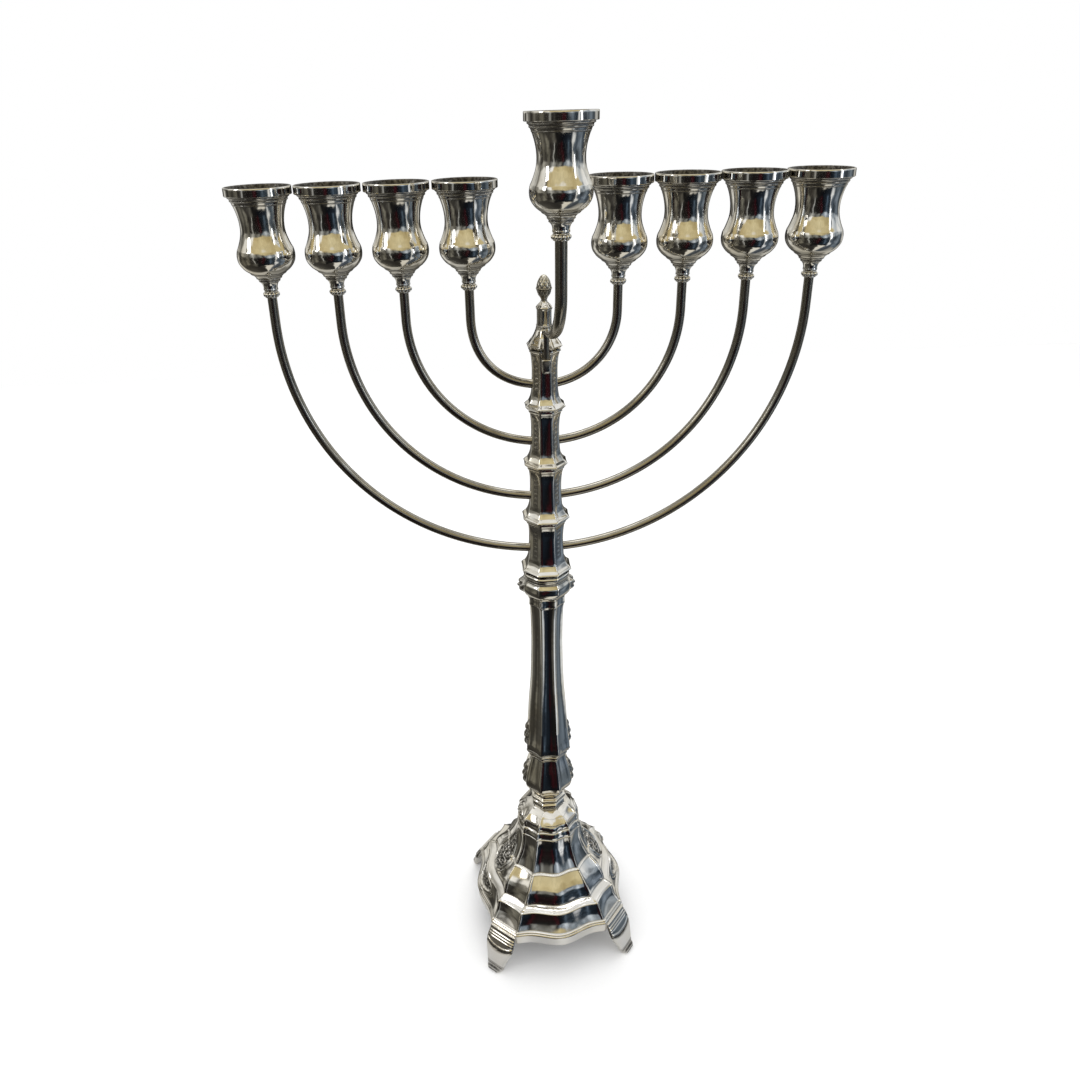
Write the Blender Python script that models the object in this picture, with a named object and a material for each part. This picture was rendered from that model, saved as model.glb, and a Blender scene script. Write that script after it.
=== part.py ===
"""A nine-light menorah in silver-plated brass, as an assembly of its castings, tubes and fittings.

World frame: metres, +Z up. The origin is on the floor under the axis of the column. The four pairs of
arms lie in the plane Y = 0 and the shamash stands in front of the column, towards -Y. Sizes below are
written in millimetres through MM.
"""
import math

import bmesh
import bpy
from mathutils import Matrix, Vector

MM = 0.001

# ---- fits ----------------------------------------------------------------------------------------
SEAT_GAP = 0.3 * MM          # between two castings that stand on each other, and round a soldered joint
ROD_CLEARANCE = 0.4 * MM     # radial, between the tie rod and the bores of the castings

# ---- arms ----------------------------------------------------------------------------------------
ARM_PAIRS = 4
ARM_FIRST_RADIUS = 41.8 * MM     # bend radius of the innermost pair
ARM_TUBE_RADIUS = 2.6 * MM
BEND_FLATTENING = (0.0, 0.5 * MM, 0.7 * MM, 0.5 * MM)   # less deep than round, innermost pair first
LEFT_FIRST_SQUARENESS = 0.12     # the innermost left arm is bent squarer than round
ARM_ROOT_GAP = 0.6 * MM          # from the tie rod to an arm's inner end

# ---- cups ----------------------------------------------------------------------------------------
CUP_SEAT_OVER_CENTRE = 18.6 * MM # foot of the eight cups over the centre that the arms bend round
CUP_SPACING = 1.1 * MM           # between the rims of neighbouring cups
CUP_HEIGHT = 54.2 * MM
CUP_RIM_RADIUS = 17.6 * MM
CUP_BAND_HEIGHT = 4.5 * MM       # plain band under the rim
CUP_THROAT_RADIUS = 15.5 * MM    # just under the band
CUP_WAIST_RADIUS = 11.6 * MM
CUP_WAIST_HEIGHT = 33.0 * MM     # above the cup's foot
CUP_BULB_RADIUS = 15.4 * MM
CUP_BULB_HEIGHT = 18.4 * MM
CUP_SHOULDER_RISE = 3.9 * MM      # from the widest part of the bulb to its shoulder edge
CUP_FLOOR_HEIGHT = 11.0 * MM
CUP_FLOOR_RADIUS = 9.0 * MM
CUP_WALL = 1.3 * MM
CUP_FOOT_WALL = 1.0 * MM         # round the tube that the cup is screwed on
CUP_SOCKET_DEPTH = 5.0 * MM
FERRULE_HEIGHT = 3.6 * MM
FERRULE_WALL = 0.6 * MM
FERRULE_BEAD = 0.7 * MM          # how far the bead stands out of the ferrule

# ---- column: spine segments, one for each pair of arms -------------------------------------------
SEGMENT_BELOW_ARM = 14.4 * MM        # from an arm's root down to the foot of its segment
SEGMENT_FLANGES = (15.6 * MM, 14.4 * MM, 13.1 * MM, 11.9 * MM)   # lowest segment first
SEGMENT_WAISTS = (10.5 * MM, 9.4 * MM, 8.2 * MM, 7.3 * MM)
FLANGE_EDGE = 1.7 * MM               # height of a flange's sharp edge above its segment's foot
FLANGE_BEVEL = 2.2 * MM              # height and depth of the bevel over that edge
FLANGE_UNDERCUT = 1.5 * MM
SEGMENT_WAIST_HEIGHT = 24.0 * MM     # above the segment's foot
SEGMENT_LIP = 1.9 * MM               # how far the top of a segment flares out of its waist

# ---- top of the column ---------------------------------------------------------------------------
TOP_FLANGE_RADIUS = 10.0 * MM
TOP_COLUMN_RADIUS = 4.1 * MM
TOP_CONE_HEIGHT = 13.0 * MM
TOP_COLUMN_HEIGHT = 23.5 * MM        # from the foot of the top piece to its cap
TOP_CAP_HEIGHT = 3.2 * MM
FINIAL_NECK_RADIUS = 1.7 * MM
FINIAL_BUD_RADIUS = 4.4 * MM
FINIAL_HEIGHT = 14.4 * MM
FINIAL_PIN_RADIUS = 1.1 * MM
FINIAL_PIN_LENGTH = 5.0 * MM

# ---- shaft, collar, knop and neck ring -----------------------------------------------------------
COLLAR_HEIGHT = 18.2 * MM
COLLAR_RADIUS = 15.0 * MM
SHAFT_HEIGHT = 128.0 * MM
SHAFT_FOOT_HEIGHT = 24.0 * MM        # the part of the shaft with the rosettes
SHAFT_MOUTH_HEIGHT = 7.0 * MM        # the plain mouth at its top
SHAFT_SLIM_RADIUS = 10.1 * MM
SHAFT_TOP_RADIUS = 11.6 * MM
SHAFT_FOOT_RADIUS = 15.0 * MM
SHAFT_HOLLOW_RADIUS = 7.0 * MM
FLUTE_DEPTH = 0.5 * MM               # how far each facet of the shaft is hollowed
KNOP_HEIGHT = 39.0 * MM
KNOP_RADIUS = 16.5 * MM
KNOP_NECK_RADIUS = 12.2 * MM
ROSETTE_STANDS_OUT = 3.4 * MM        # cast rosettes on the left and right of shaft foot, knop and collar
NECK_RING_HEIGHT = 10.6 * MM
NECK_RING_RADIUS = 12.0 * MM

# ---- base ----------------------------------------------------------------------------------------
BASE_TURN = math.radians(5.0)        # the base is screwed up a little past square with the arms
BASE_TOP_HEIGHT = 106.0 * MM
BASE_WALL = 2.0 * MM
BASE_BOSS_DEPTH = 6.0 * MM           # solid top of the dome, which the tie rod passes through
HEM_HEIGHT = 20.0 * MM               # of the hem's lower edge over the floor
HEM_BAND = 8.5 * MM
HEM_MID = 55.5 * MM                  # from the axis to the middle of a bowed side
HEM_SIDE = 49.2 * MM                 # from the axis to the ends of a side, at the cut corners
HEM_HALF_LENGTH = 33.0 * MM          # from the middle of a side to its ends
BOW_SHARE = 0.82                     # share of a side that the bow in its middle takes up
# Tiers over the hem, from the skirt up: height over the floor, then the three sizes as on the hem.
BASE_TIERS = (
    (43.0 * MM, 47.0 * MM, 42.0 * MM, 28.0 * MM),    # top of the skirt
    (44.7 * MM, 41.5 * MM, 37.5 * MM, 24.0 * MM),    # foot of the roll, in from the ledge
    (50.0 * MM, 40.8 * MM, 36.6 * MM, 22.8 * MM),
    (57.0 * MM, 36.4 * MM, 32.6 * MM, 19.6 * MM),
    (63.0 * MM, 30.8 * MM, 27.8 * MM, 16.7 * MM),    # top of the roll, foot of the flare
    (75.0 * MM, 25.0 * MM, 22.7 * MM, 13.6 * MM),
    (88.0 * MM, 22.6 * MM, 20.4 * MM, 12.0 * MM),    # top of the flare
    (94.0 * MM, 22.0 * MM, 19.4 * MM, 11.5 * MM),    # foot of the dome
    (98.5 * MM, 21.0 * MM, 18.8 * MM, 10.9 * MM),
    (103.0 * MM, 16.8 * MM, 15.6 * MM, 8.2 * MM),
)

# ---- feet ----------------------------------------------------------------------------------------
FOOT_OUTREACH = 14.9 * MM            # from the cut corner of the hem out to the tip of a foot
FOOT_TOP_MARGIN = 0.5 * MM           # how much narrower its top is than the cut corner, at each end
FOOT_KNEE = 6.2 * MM                 # how far the foot swells out in front of the hem
FOOT_TOE_HALF_WIDTH = 5.4 * MM
FOOT_THICKNESS = 4.2 * MM
FOOT_PLATE_THICKNESS = 1.8 * MM      # of its top, which is soldered flat against the hem

# ---- tie rod, washer and nut ---------------------------------------------------------------------
ROD_RADIUS = 3.0 * MM
ROD_IN_TOP_PIECE = 7.0 * MM          # how far the rod reaches up into the top piece
ROD_BELOW_NUT = 3.0 * MM
WASHER_RADIUS = 8.0 * MM
WASHER_THICKNESS = 1.6 * MM
NUT_ACROSS_FLATS = 10.0 * MM
NUT_THICKNESS = 5.0 * MM

# ---- shamash -------------------------------------------------------------------------------------
SHAMASH_REACH = 53.6 * MM            # of its cup's axis in front of the column's axis
SHAMASH_SWING = math.radians(4.7)    # its arm stands a little to the right
SHAMASH_SEAT_OVER_TOP_PIECE = 71.1 * MM   # its cup's foot over the foot of the column's top piece
SHAMASH_TUBE_RADIUS = 3.1 * MM
BEND_OVER_TOP_PIECE = 12.5 * MM      # lowest point of the bend over the foot of the top piece
BEND_HEIGHT = 28.0 * MM              # from there up to the straight part of the arm
TONGUE_WIDTH = 3.2 * MM
TONGUE_THICKNESS = 1.6 * MM
TONGUE_STANDS_OFF = 0.5 * MM         # from the flange that it hangs in front of
TONGUE_BEND = 4.0 * MM
SOCKET_HEIGHT = 8.5 * MM
SOCKET_BELOW_TOP_PIECE = 4.0 * MM
SOCKET_WALL = 0.9 * MM
SOCKET_FLOOR = 1.0 * MM
SOCKET_CLEARANCE = 0.3 * MM

# ---- how finely round shapes are cut -------------------------------------------------------------
TUBE_SIDES = 10
CUP_SIDES = 16
OCTAGON_POINTS = 16                  # a corner and a middle of a side for each of the eight facets
SIDE_POINTS = 9                      # along one bowed side of the base
ARM_BEND_STEPS = 14


# ==== values that follow from those above =========================================================
BORE_RADIUS = ROD_RADIUS + ROD_CLEARANCE
ARM_ROOT_X = ROD_RADIUS + ARM_ROOT_GAP
KNOP_FOOT = BASE_TOP_HEIGHT + NECK_RING_HEIGHT + 2 * SEAT_GAP
SHAFT_FOOT = KNOP_FOOT + KNOP_HEIGHT + SEAT_GAP
COLLAR_FOOT = SHAFT_FOOT + SHAFT_HEIGHT + SEAT_GAP
CUT_CORNER_HALF_LENGTH = (HEM_SIDE - HEM_HALF_LENGTH) / math.sqrt(2)
FOOT_TOP_HALF_WIDTH = CUT_CORNER_HALF_LENGTH - FOOT_TOP_MARGIN
SEGMENTS_FOOT = COLLAR_FOOT + COLLAR_HEIGHT + SEAT_GAP
ARM_PITCH = 2 * CUP_RIM_RADIUS + CUP_SPACING


def arm_radius(pair):
    """Bend radius of a pair of arms; pair 1 is the innermost."""
    return ARM_FIRST_RADIUS + (pair - 1) * ARM_PITCH


def segment_foot(segment):
    """Foot of a spine segment; segment 1 is the lowest and holds the outermost arms."""
    return SEGMENTS_FOOT + (segment - 1) * ARM_PITCH


# All the arms bend round one centre, so that each meets the axis a little over its segment's foot.
ARM_CENTRE_HEIGHT = SEGMENTS_FOOT + SEGMENT_BELOW_ARM + arm_radius(ARM_PAIRS)
CUP_SEAT_HEIGHT = ARM_CENTRE_HEIGHT + CUP_SEAT_OVER_CENTRE
SEGMENT_HEIGHT = ARM_PITCH - SEAT_GAP
TOP_PIECE_FOOT = segment_foot(ARM_PAIRS) + ARM_PITCH
ROD_TOP = TOP_PIECE_FOOT + ROD_IN_TOP_PIECE
BOSS_UNDERSIDE = BASE_TOP_HEIGHT - BASE_BOSS_DEPTH
NUT_TOP = BOSS_UNDERSIDE - WASHER_THICKNESS - 2 * SEAT_GAP
TONGUE_Y = -(TOP_FLANGE_RADIUS + TONGUE_STANDS_OFF + TONGUE_THICKNESS / 2)
SHAMASH_SEAT_HEIGHT = TOP_PIECE_FOOT + SHAMASH_SEAT_OVER_TOP_PIECE
BEND_FOOT = TOP_PIECE_FOOT + BEND_OVER_TOP_PIECE
SOCKET_TOP = TOP_PIECE_FOOT - SOCKET_BELOW_TOP_PIECE
SOCKET_FOOT = SOCKET_TOP - SOCKET_HEIGHT


# ==== tools =======================================================================================
def clear_scene():
    """Empty the scene of the objects that a new file starts with."""
    for item in list(bpy.data.objects):
        bpy.data.objects.remove(item, do_unlink=True)


def make_material(name, colour, roughness, metallic=1.0):
    """A plain Principled material."""
    material = bpy.data.materials.new(name)
    material.use_nodes = True
    shader = material.node_tree.nodes["Principled BSDF"]
    shader.inputs["Base Color"].default_value = (*colour, 1.0)
    shader.inputs["Roughness"].default_value = roughness
    shader.inputs["Metallic"].default_value = metallic
    return material


def mesh_from_rings(name, rings, wrap=False):
    """Skin a row of rings of points. A ring of one point is a pole; wrap joins the last to the first."""
    shape = bmesh.new()
    rows = [[shape.verts.new(point) for point in ring] for ring in rings]
    pairs = list(zip(rows, rows[1:]))
    if wrap:
        pairs.append((rows[-1], rows[0]))
    for low, high in pairs:
        count = max(len(low), len(high))
        for i in range(count):
            j = (i + 1) % count
            corners = [low[i % len(low)], low[j % len(low)], high[j % len(high)], high[i % len(high)]]
            shape.faces.new(list(dict.fromkeys(corners)))
    if not wrap:
        if len(rows[0]) > 1:
            shape.faces.new(list(reversed(rows[0])))
        if len(rows[-1]) > 1:
            shape.faces.new(rows[-1])
    bmesh.ops.recalc_face_normals(shape, faces=shape.faces)
    mesh = bpy.data.meshes.new(name)
    shape.to_mesh(mesh)
    shape.free()
    mesh.shade_smooth()
    mesh.set_sharp_from_angle(angle=math.radians(35))
    return mesh


def place(name, mesh, material, location=(0, 0, 0), parent=None):
    """Put a mesh into the scene as a named node, at a place in world space."""
    node = bpy.data.objects.new(name, mesh)
    bpy.context.scene.collection.objects.link(node)
    if not mesh.materials:
        mesh.materials.append(material)
    node.location = location
    if parent:
        node.parent = parent
        node.location = Vector(location) - parent.location
    return node


def add_cutter(node, mesh, name):
    """Cut a hidden solid out of a node."""
    cutter = bpy.data.objects.new(name, mesh)
    bpy.context.scene.collection.objects.link(cutter)
    cutter.hide_render = True
    cutter.display_type = "WIRE"
    cutter.parent = node
    cutter.matrix_parent_inverse = Matrix.Translation(-Vector(node.location))
    cut = node.modifiers.new(name, "BOOLEAN")
    cut.operation = "DIFFERENCE"
    cut.solver = "EXACT"
    cut.object = cutter


def smooth_outline(points, steps=3):
    """Points on a Catmull-Rom curve through (radius, height) points, with its two ends kept."""
    padded = [points[0], *points, points[-1]]
    curve = []
    for before, start, end, after in zip(padded, padded[1:], padded[2:], padded[3:]):
        for step in range(steps):
            t = step / steps
            curve.append(tuple(
                0.5 * (2 * b + (c - a) * t + (2 * a - 5 * b + 4 * c - d) * t * t
                       + (3 * b - a - 3 * c + d) * t ** 3)
                for a, b, c, d in zip(before, start, end, after)))
    return [*curve, tuple(points[-1])]


def circle(radius, height, sides):
    """A level ring about the Z axis, or a pole where the radius is nought."""
    if radius == 0:
        return [(0, 0, height)]
    angles = (2 * math.pi * i / sides for i in range(sides))
    return [(radius * math.cos(a), radius * math.sin(a), height) for a in angles]


def turned(name, outline, sides):
    """A turned piece. Its (radius, height) outline runs up the outside and down the inside."""
    wrap = outline[0][0] > 0 and outline[-1][0] > 0
    return mesh_from_rings(name, [circle(r, z, sides) for r, z in outline], wrap)


def octagon(inner_radius, height, hollow=0.0, rosette=0.0):
    """A level ring with eight facets, one of them facing the front.

    hollow draws the middle of every facet in; rosette pushes the left and right ones out.
    """
    ring = []
    for i in range(OCTAGON_POINTS):
        angle = 2 * math.pi * i / OCTAGON_POINTS
        on_corner = i % 2 == 1
        radius = inner_radius / math.cos(math.pi / 8) if on_corner else inner_radius - hollow
        if i % (OCTAGON_POINTS // 2) == 0:
            radius += rosette
        ring.append((radius * math.cos(angle), radius * math.sin(angle), height))
    return ring


def octagon_casting(name, outline, bore, hollow=0.0, rosettes=()):
    """An eight-sided casting with a round bore.

    outline is (inner radius, height) from the foot up; rosettes are (lowest, highest) heights.
    """
    rings = []
    for radius, height in outline:
        swell = 0.0
        for low, high in rosettes:
            if low < height < high:
                swell = ROSETTE_STANDS_OUT * math.sin(math.pi * (height - low) / (high - low))
        rings.append(octagon(radius, height, hollow, swell))
    foot, top = outline[0][1], outline[-1][1]
    rings += [circle(bore, top, OCTAGON_POINTS), circle(bore, foot, OCTAGON_POINTS)]
    return mesh_from_rings(name, rings, wrap=True)


def tube_rings(path, sections, across):
    """Rings for a bar bent in one plane.

    path is the centre line, sections the (half width, half thickness) at each point of it, and
    across the direction square to the bend's plane, along which the width lies.
    """
    rings = []
    last = len(path) - 1
    for i, (centre, (half_width, half_thickness)) in enumerate(zip(path, sections)):
        along = (path[min(i + 1, last)] - path[max(i - 1, 0)]).normalized()
        out = along.cross(across).normalized()
        side = out.cross(along)
        angles = (2 * math.pi * (k + 0.5) / TUBE_SIDES for k in range(TUBE_SIDES))
        rings.append([centre + side * half_width * math.cos(a) + out * half_thickness * math.sin(a)
                      for a in angles])
    return rings


# ==== arms, cups and ferrules =====================================================================
def arm_path(pair, side, root_x=ARM_ROOT_X):
    """Centre line of an arm: round the common centre from its root, then straight up to its cup."""
    radius = arm_radius(pair)
    depth = radius - BEND_FLATTENING[pair - 1]
    power = 1.0 - LEFT_FIRST_SQUARENESS if (pair, side) == (1, -1) else 1.0
    start = math.asin((root_x / radius) ** (1 / power))
    steps = [start + (math.pi / 2 - start) * i / ARM_BEND_STEPS for i in range(ARM_BEND_STEPS + 1)]
    path = [Vector((side * radius * math.sin(a) ** power, 0,
                    ARM_CENTRE_HEIGHT - depth * max(0.0, math.cos(a)) ** power)) for a in steps]
    top = CUP_SEAT_HEIGHT + CUP_SOCKET_DEPTH - SEAT_GAP
    path.append(Vector((side * radius, 0, top)))
    return path


def arm_mesh(name, pair, side, swell=0.0, root_x=ARM_ROOT_X):
    """The tube of one arm. swell makes it thicker, for the hole that it sits in."""
    path = arm_path(pair, side, root_x)
    radius = ARM_TUBE_RADIUS + swell
    return mesh_from_rings(name, tube_rings(path, [(radius, radius)] * len(path), Vector((0, 1, 0))))


def cup_mesh(name, tube_radius):
    """A tulip cup with its foot on the floor, hollow from above and drilled from below for its tube."""
    foot_radius = tube_radius + SEAT_GAP + CUP_FOOT_WALL
    socket_radius = tube_radius + SEAT_GAP
    band_foot = CUP_HEIGHT - CUP_BAND_HEIGHT
    stem = [(foot_radius, 0), (foot_radius, 0.3 * CUP_SOCKET_DEPTH),
            (foot_radius + 1.4 * MM, CUP_SOCKET_DEPTH),
            (CUP_FLOOR_RADIUS - 0.6 * MM, CUP_FLOOR_HEIGHT - 2.3 * MM)]
    bulb = [(CUP_BULB_RADIUS - 3.3 * MM, CUP_FLOOR_HEIGHT + 0.6 * MM),
            (CUP_BULB_RADIUS - 1.1 * MM, CUP_BULB_HEIGHT - 4.2 * MM),
            (CUP_BULB_RADIUS, CUP_BULB_HEIGHT),
            (CUP_BULB_RADIUS - 0.6 * MM, CUP_BULB_HEIGHT + CUP_SHOULDER_RISE),
            ((CUP_BULB_RADIUS + CUP_WAIST_RADIUS) / 2 - 0.8 * MM,
             (CUP_BULB_HEIGHT + CUP_SHOULDER_RISE + CUP_WAIST_HEIGHT) / 2 - 0.8 * MM)]
    throat = [(CUP_WAIST_RADIUS, CUP_WAIST_HEIGHT),
              ((CUP_WAIST_RADIUS + CUP_THROAT_RADIUS) / 2 - 0.5 * MM,
               (CUP_WAIST_HEIGHT + band_foot) / 2 + 1.5 * MM),
              (CUP_THROAT_RADIUS, band_foot - 1.2 * MM)]
    band = [(CUP_RIM_RADIUS, band_foot), (CUP_RIM_RADIUS, CUP_HEIGHT)]
    inside = [(CUP_RIM_RADIUS - CUP_WALL, CUP_HEIGHT)]
    inside += [(radius - CUP_WALL, height) for radius, height in reversed(bulb[1:] + throat)]
    floor = [(CUP_FLOOR_RADIUS, CUP_FLOOR_HEIGHT), (0, CUP_FLOOR_HEIGHT)]
    socket = [(0, CUP_SOCKET_DEPTH), (socket_radius, CUP_SOCKET_DEPTH), (socket_radius, 0)]
    return turned(name, socket + stem + bulb + throat + band + inside + floor, CUP_SIDES)


def ferrule_mesh(name, tube_radius):
    """The beaded ring round the top of a tube, with its top at nought."""
    hole = tube_radius + SEAT_GAP
    wall = hole + FERRULE_WALL
    outline = [(wall, -FERRULE_HEIGHT), (wall + FERRULE_BEAD, -0.75 * FERRULE_HEIGHT),
               (wall + FERRULE_BEAD, -0.3 * FERRULE_HEIGHT), (wall, 0), (hole, 0),
               (hole, -FERRULE_HEIGHT)]
    return turned(name, outline, CUP_SIDES)


def build_arms(finish):
    """Eight arms, each with its ferrule and its cup."""
    cup = cup_mesh("tulip_cup", ARM_TUBE_RADIUS)
    ferrule = ferrule_mesh("ferrule", ARM_TUBE_RADIUS)
    for side, word in ((-1, "left"), (1, "right")):
        for pair in range(1, ARM_PAIRS + 1):
            name = f"arm_{word}_{pair}"
            place(name, arm_mesh(name, pair, side), finish["arm"])
            x = side * arm_radius(pair)
            place(f"ferrule_{word}_{pair}", ferrule, finish["silver"], (x, 0, CUP_SEAT_HEIGHT - SEAT_GAP))
            place(f"cup_{word}_{pair}", cup, finish["silver"], (x, 0, CUP_SEAT_HEIGHT))


# ==== column ======================================================================================
def segment_outline(waist, flange):
    """Outline of a spine segment from its foot up: undercut, sharp edge, bevel, waist and flared lip."""
    bevel_top = FLANGE_EDGE + FLANGE_BEVEL
    flare = flange - FLANGE_BEVEL - waist
    return [
        (flange - FLANGE_UNDERCUT, 0),
        (flange, FLANGE_EDGE),
        (flange - FLANGE_BEVEL, bevel_top),
        (waist + 0.42 * flare, bevel_top + 3.6 * MM),
        (waist + 0.12 * flare, bevel_top + 9.0 * MM),
        (waist, SEGMENT_WAIST_HEIGHT),
        (waist + 0.3 * SEGMENT_LIP, SEGMENT_HEIGHT - 4.5 * MM),
        (waist + SEGMENT_LIP, SEGMENT_HEIGHT - 1.0 * MM),
        (waist + SEGMENT_LIP, SEGMENT_HEIGHT),
    ]


def build_segments(finish):
    """The four waisted segments, each drilled along its axis for the rod and across it for its arms."""
    for segment, (flange, waist) in enumerate(zip(SEGMENT_FLANGES, SEGMENT_WAISTS), start=1):
        pair = ARM_PAIRS + 1 - segment
        name = f"spine_segment_{segment}"
        mesh = octagon_casting(name, segment_outline(waist, flange), BORE_RADIUS)
        node = place(name, mesh, finish["silver"], (0, 0, segment_foot(segment)))
        for side, word in ((-1, "left"), (1, "right")):
            hole = arm_mesh(f"{word}_hole_{segment}", pair, side, SEAT_GAP, ROD_RADIUS - 1 * MM)
            add_cutter(node, hole, f"{word}_hole_{segment}")


def build_top(finish):
    """The small column over the segments, and the finial that is screwed into it."""
    flange = TOP_FLANGE_RADIUS
    column = TOP_COLUMN_RADIUS
    cap_top = TOP_COLUMN_HEIGHT + TOP_CAP_HEIGHT
    outside = [
        (flange - FLANGE_UNDERCUT, 0), (flange, FLANGE_EDGE), (flange - 0.9 * MM, FLANGE_EDGE + 1.2 * MM),
        (column + 2.4 * MM, 0.5 * TOP_CONE_HEIGHT), (column + 0.7 * MM, 0.82 * TOP_CONE_HEIGHT),
        (column, TOP_CONE_HEIGHT + 1.5 * MM), (column, TOP_COLUMN_HEIGHT - 2.0 * MM),
        (column + 0.3 * MM, TOP_COLUMN_HEIGHT),
        (column - 1.0 * MM, TOP_COLUMN_HEIGHT + 0.5 * TOP_CAP_HEIGHT),
        (FINIAL_NECK_RADIUS + 0.3 * MM, cap_top),
    ]
    pin_hole = FINIAL_PIN_RADIUS + SEAT_GAP
    pin_floor = cap_top - FINIAL_PIN_LENGTH - SEAT_GAP
    bore_top = ROD_IN_TOP_PIECE + SEAT_GAP
    rings = [[(0, 0, bore_top)], circle(BORE_RADIUS, bore_top, OCTAGON_POINTS),
             circle(BORE_RADIUS, 0, OCTAGON_POINTS)]
    rings += [octagon(radius, height) for radius, height in outside]
    rings += [circle(pin_hole, cap_top, OCTAGON_POINTS), circle(pin_hole, pin_floor, OCTAGON_POINTS),
              [(0, 0, pin_floor)]]
    place("spine_top", mesh_from_rings("spine_top", rings), finish["silver"], (0, 0, TOP_PIECE_FOOT))

    bud = smooth_outline([(FINIAL_NECK_RADIUS, 1.2 * MM), (FINIAL_BUD_RADIUS - 0.6 * MM, 4.6 * MM),
                          (FINIAL_BUD_RADIUS, 7.4 * MM), (FINIAL_BUD_RADIUS - 1.1 * MM, 11.2 * MM),
                          (1.0 * MM, FINIAL_HEIGHT - 0.3 * MM)], steps=2)
    outline = [(0, -FINIAL_PIN_LENGTH), (FINIAL_PIN_RADIUS, -FINIAL_PIN_LENGTH), (FINIAL_PIN_RADIUS, 0),
               (FINIAL_NECK_RADIUS, 0), *bud, (0, FINIAL_HEIGHT)]
    finial_foot = TOP_PIECE_FOOT + cap_top + SEAT_GAP
    place("finial", turned("finial", outline, CUP_SIDES), finish["antique"], (0, 0, finial_foot))


def build_shaft(finish):
    """Neck ring, knop, fluted shaft and collar: the castings between the base and the segments."""
    ring = NECK_RING_RADIUS
    outline = [(ring - 1.2 * MM, 0), (ring - 0.9 * MM, 0.4 * NECK_RING_HEIGHT),
               (ring - 1.6 * MM, 0.5 * NECK_RING_HEIGHT), (ring, 0.68 * NECK_RING_HEIGHT),
               (ring, 0.84 * NECK_RING_HEIGHT), (ring - 1.8 * MM, NECK_RING_HEIGHT)]
    mesh = octagon_casting("base_neck_ring", outline, BORE_RADIUS)
    place("base_neck_ring", mesh, finish["silver"], (0, 0, BASE_TOP_HEIGHT + SEAT_GAP))

    outline = [(ring - 1.8 * MM, 0), (ring, 3.6 * MM), (KNOP_RADIUS - 1.0 * MM, 8.0 * MM),
               (KNOP_RADIUS, 12.5 * MM), (KNOP_RADIUS - 0.6 * MM, 18.0 * MM),
               (KNOP_RADIUS - 2.0 * MM, 25.0 * MM), (KNOP_NECK_RADIUS + 0.6 * MM, 31.0 * MM),
               (KNOP_NECK_RADIUS, 34.5 * MM), (KNOP_NECK_RADIUS + 0.8 * MM, KNOP_HEIGHT)]
    mesh = octagon_casting("lower_knop", outline, BORE_RADIUS, rosettes=[(5 * MM, 29 * MM)])
    place("lower_knop", mesh, finish["silver"], (0, 0, KNOP_FOOT))

    foot, slim, top = SHAFT_FOOT_RADIUS, SHAFT_SLIM_RADIUS, SHAFT_HEIGHT
    taper = top - SHAFT_FOOT_HEIGHT - SHAFT_MOUTH_HEIGHT
    outline = [(foot - 1.6 * MM, 0), (foot, 2.0 * MM), (foot + 0.2 * MM, 6.0 * MM),
               (foot - 0.6 * MM, 12.0 * MM), (foot - 1.2 * MM, 18.0 * MM),
               (foot - 1.6 * MM, SHAFT_FOOT_HEIGHT)]
    outline += [(radius, SHAFT_FOOT_HEIGHT + share * taper) for radius, share in (
        (foot - 2.5 * MM, 0.16), (slim + 0.9 * MM, 0.35), (slim + 0.3 * MM, 0.54), (slim, 0.72),
        (slim + 0.4 * MM, 0.9), (slim + 0.8 * MM, 1.0))]
    outline += [(SHAFT_TOP_RADIUS, top - 2.0 * MM), (SHAFT_TOP_RADIUS, top)]
    mesh = octagon_casting("fluted_shaft", outline, SHAFT_HOLLOW_RADIUS, FLUTE_DEPTH,
                           rosettes=[(3 * MM, SHAFT_FOOT_HEIGHT + 1 * MM)])
    place("fluted_shaft", mesh, finish["silver"], (0, 0, SHAFT_FOOT))

    bulge = COLLAR_RADIUS
    outline = [(SHAFT_TOP_RADIUS, 0), (bulge - 1.6 * MM, 2.0 * MM), (bulge, 5.0 * MM), (bulge, 9.0 * MM),
               (bulge - 1.2 * MM, 11.5 * MM), (bulge - 1.4 * MM, 14.5 * MM),
               (SEGMENT_FLANGES[0] - FLANGE_UNDERCUT, COLLAR_HEIGHT)]
    mesh = octagon_casting("shaft_collar", outline, BORE_RADIUS, rosettes=[(1 * MM, 12 * MM)])
    place("shaft_collar", mesh, finish["silver"], (0, 0, COLLAR_FOOT))


# ==== base ========================================================================================
def base_ring(height, mid, side, half_length):
    """A level ring round the base: four bowed sides joined by cut corners."""
    ring = []
    for quarter in range(4):
        turn = Matrix.Rotation(quarter * math.pi / 2, 3, "Z")
        for i in range(SIDE_POINTS):
            share = 2 * i / (SIDE_POINTS - 1) - 1
            bow = 0.5 + 0.5 * math.cos(math.pi * min(1.0, abs(share) / BOW_SHARE))
            depth = side + (mid - side) * bow
            ring.append(turn @ Vector((half_length * share, -depth, height)))
    return ring


def ring_inside(ring_sizes, drop):
    """The wall's inner ring for an outer one: drawn in by the wall, and lowered by drop."""
    height, mid, side, half_length = ring_sizes
    corner = (math.sqrt(2) - 1) * BASE_WALL
    return height - drop, mid - BASE_WALL, side - BASE_WALL, half_length - corner


def as_circle(ring, radius, height):
    """The points of a ring drawn in to a circle, each at its own angle."""
    return [Vector((point.x, point.y, 0)).normalized() * radius + Vector((0, 0, height)) for point in ring]


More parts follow.
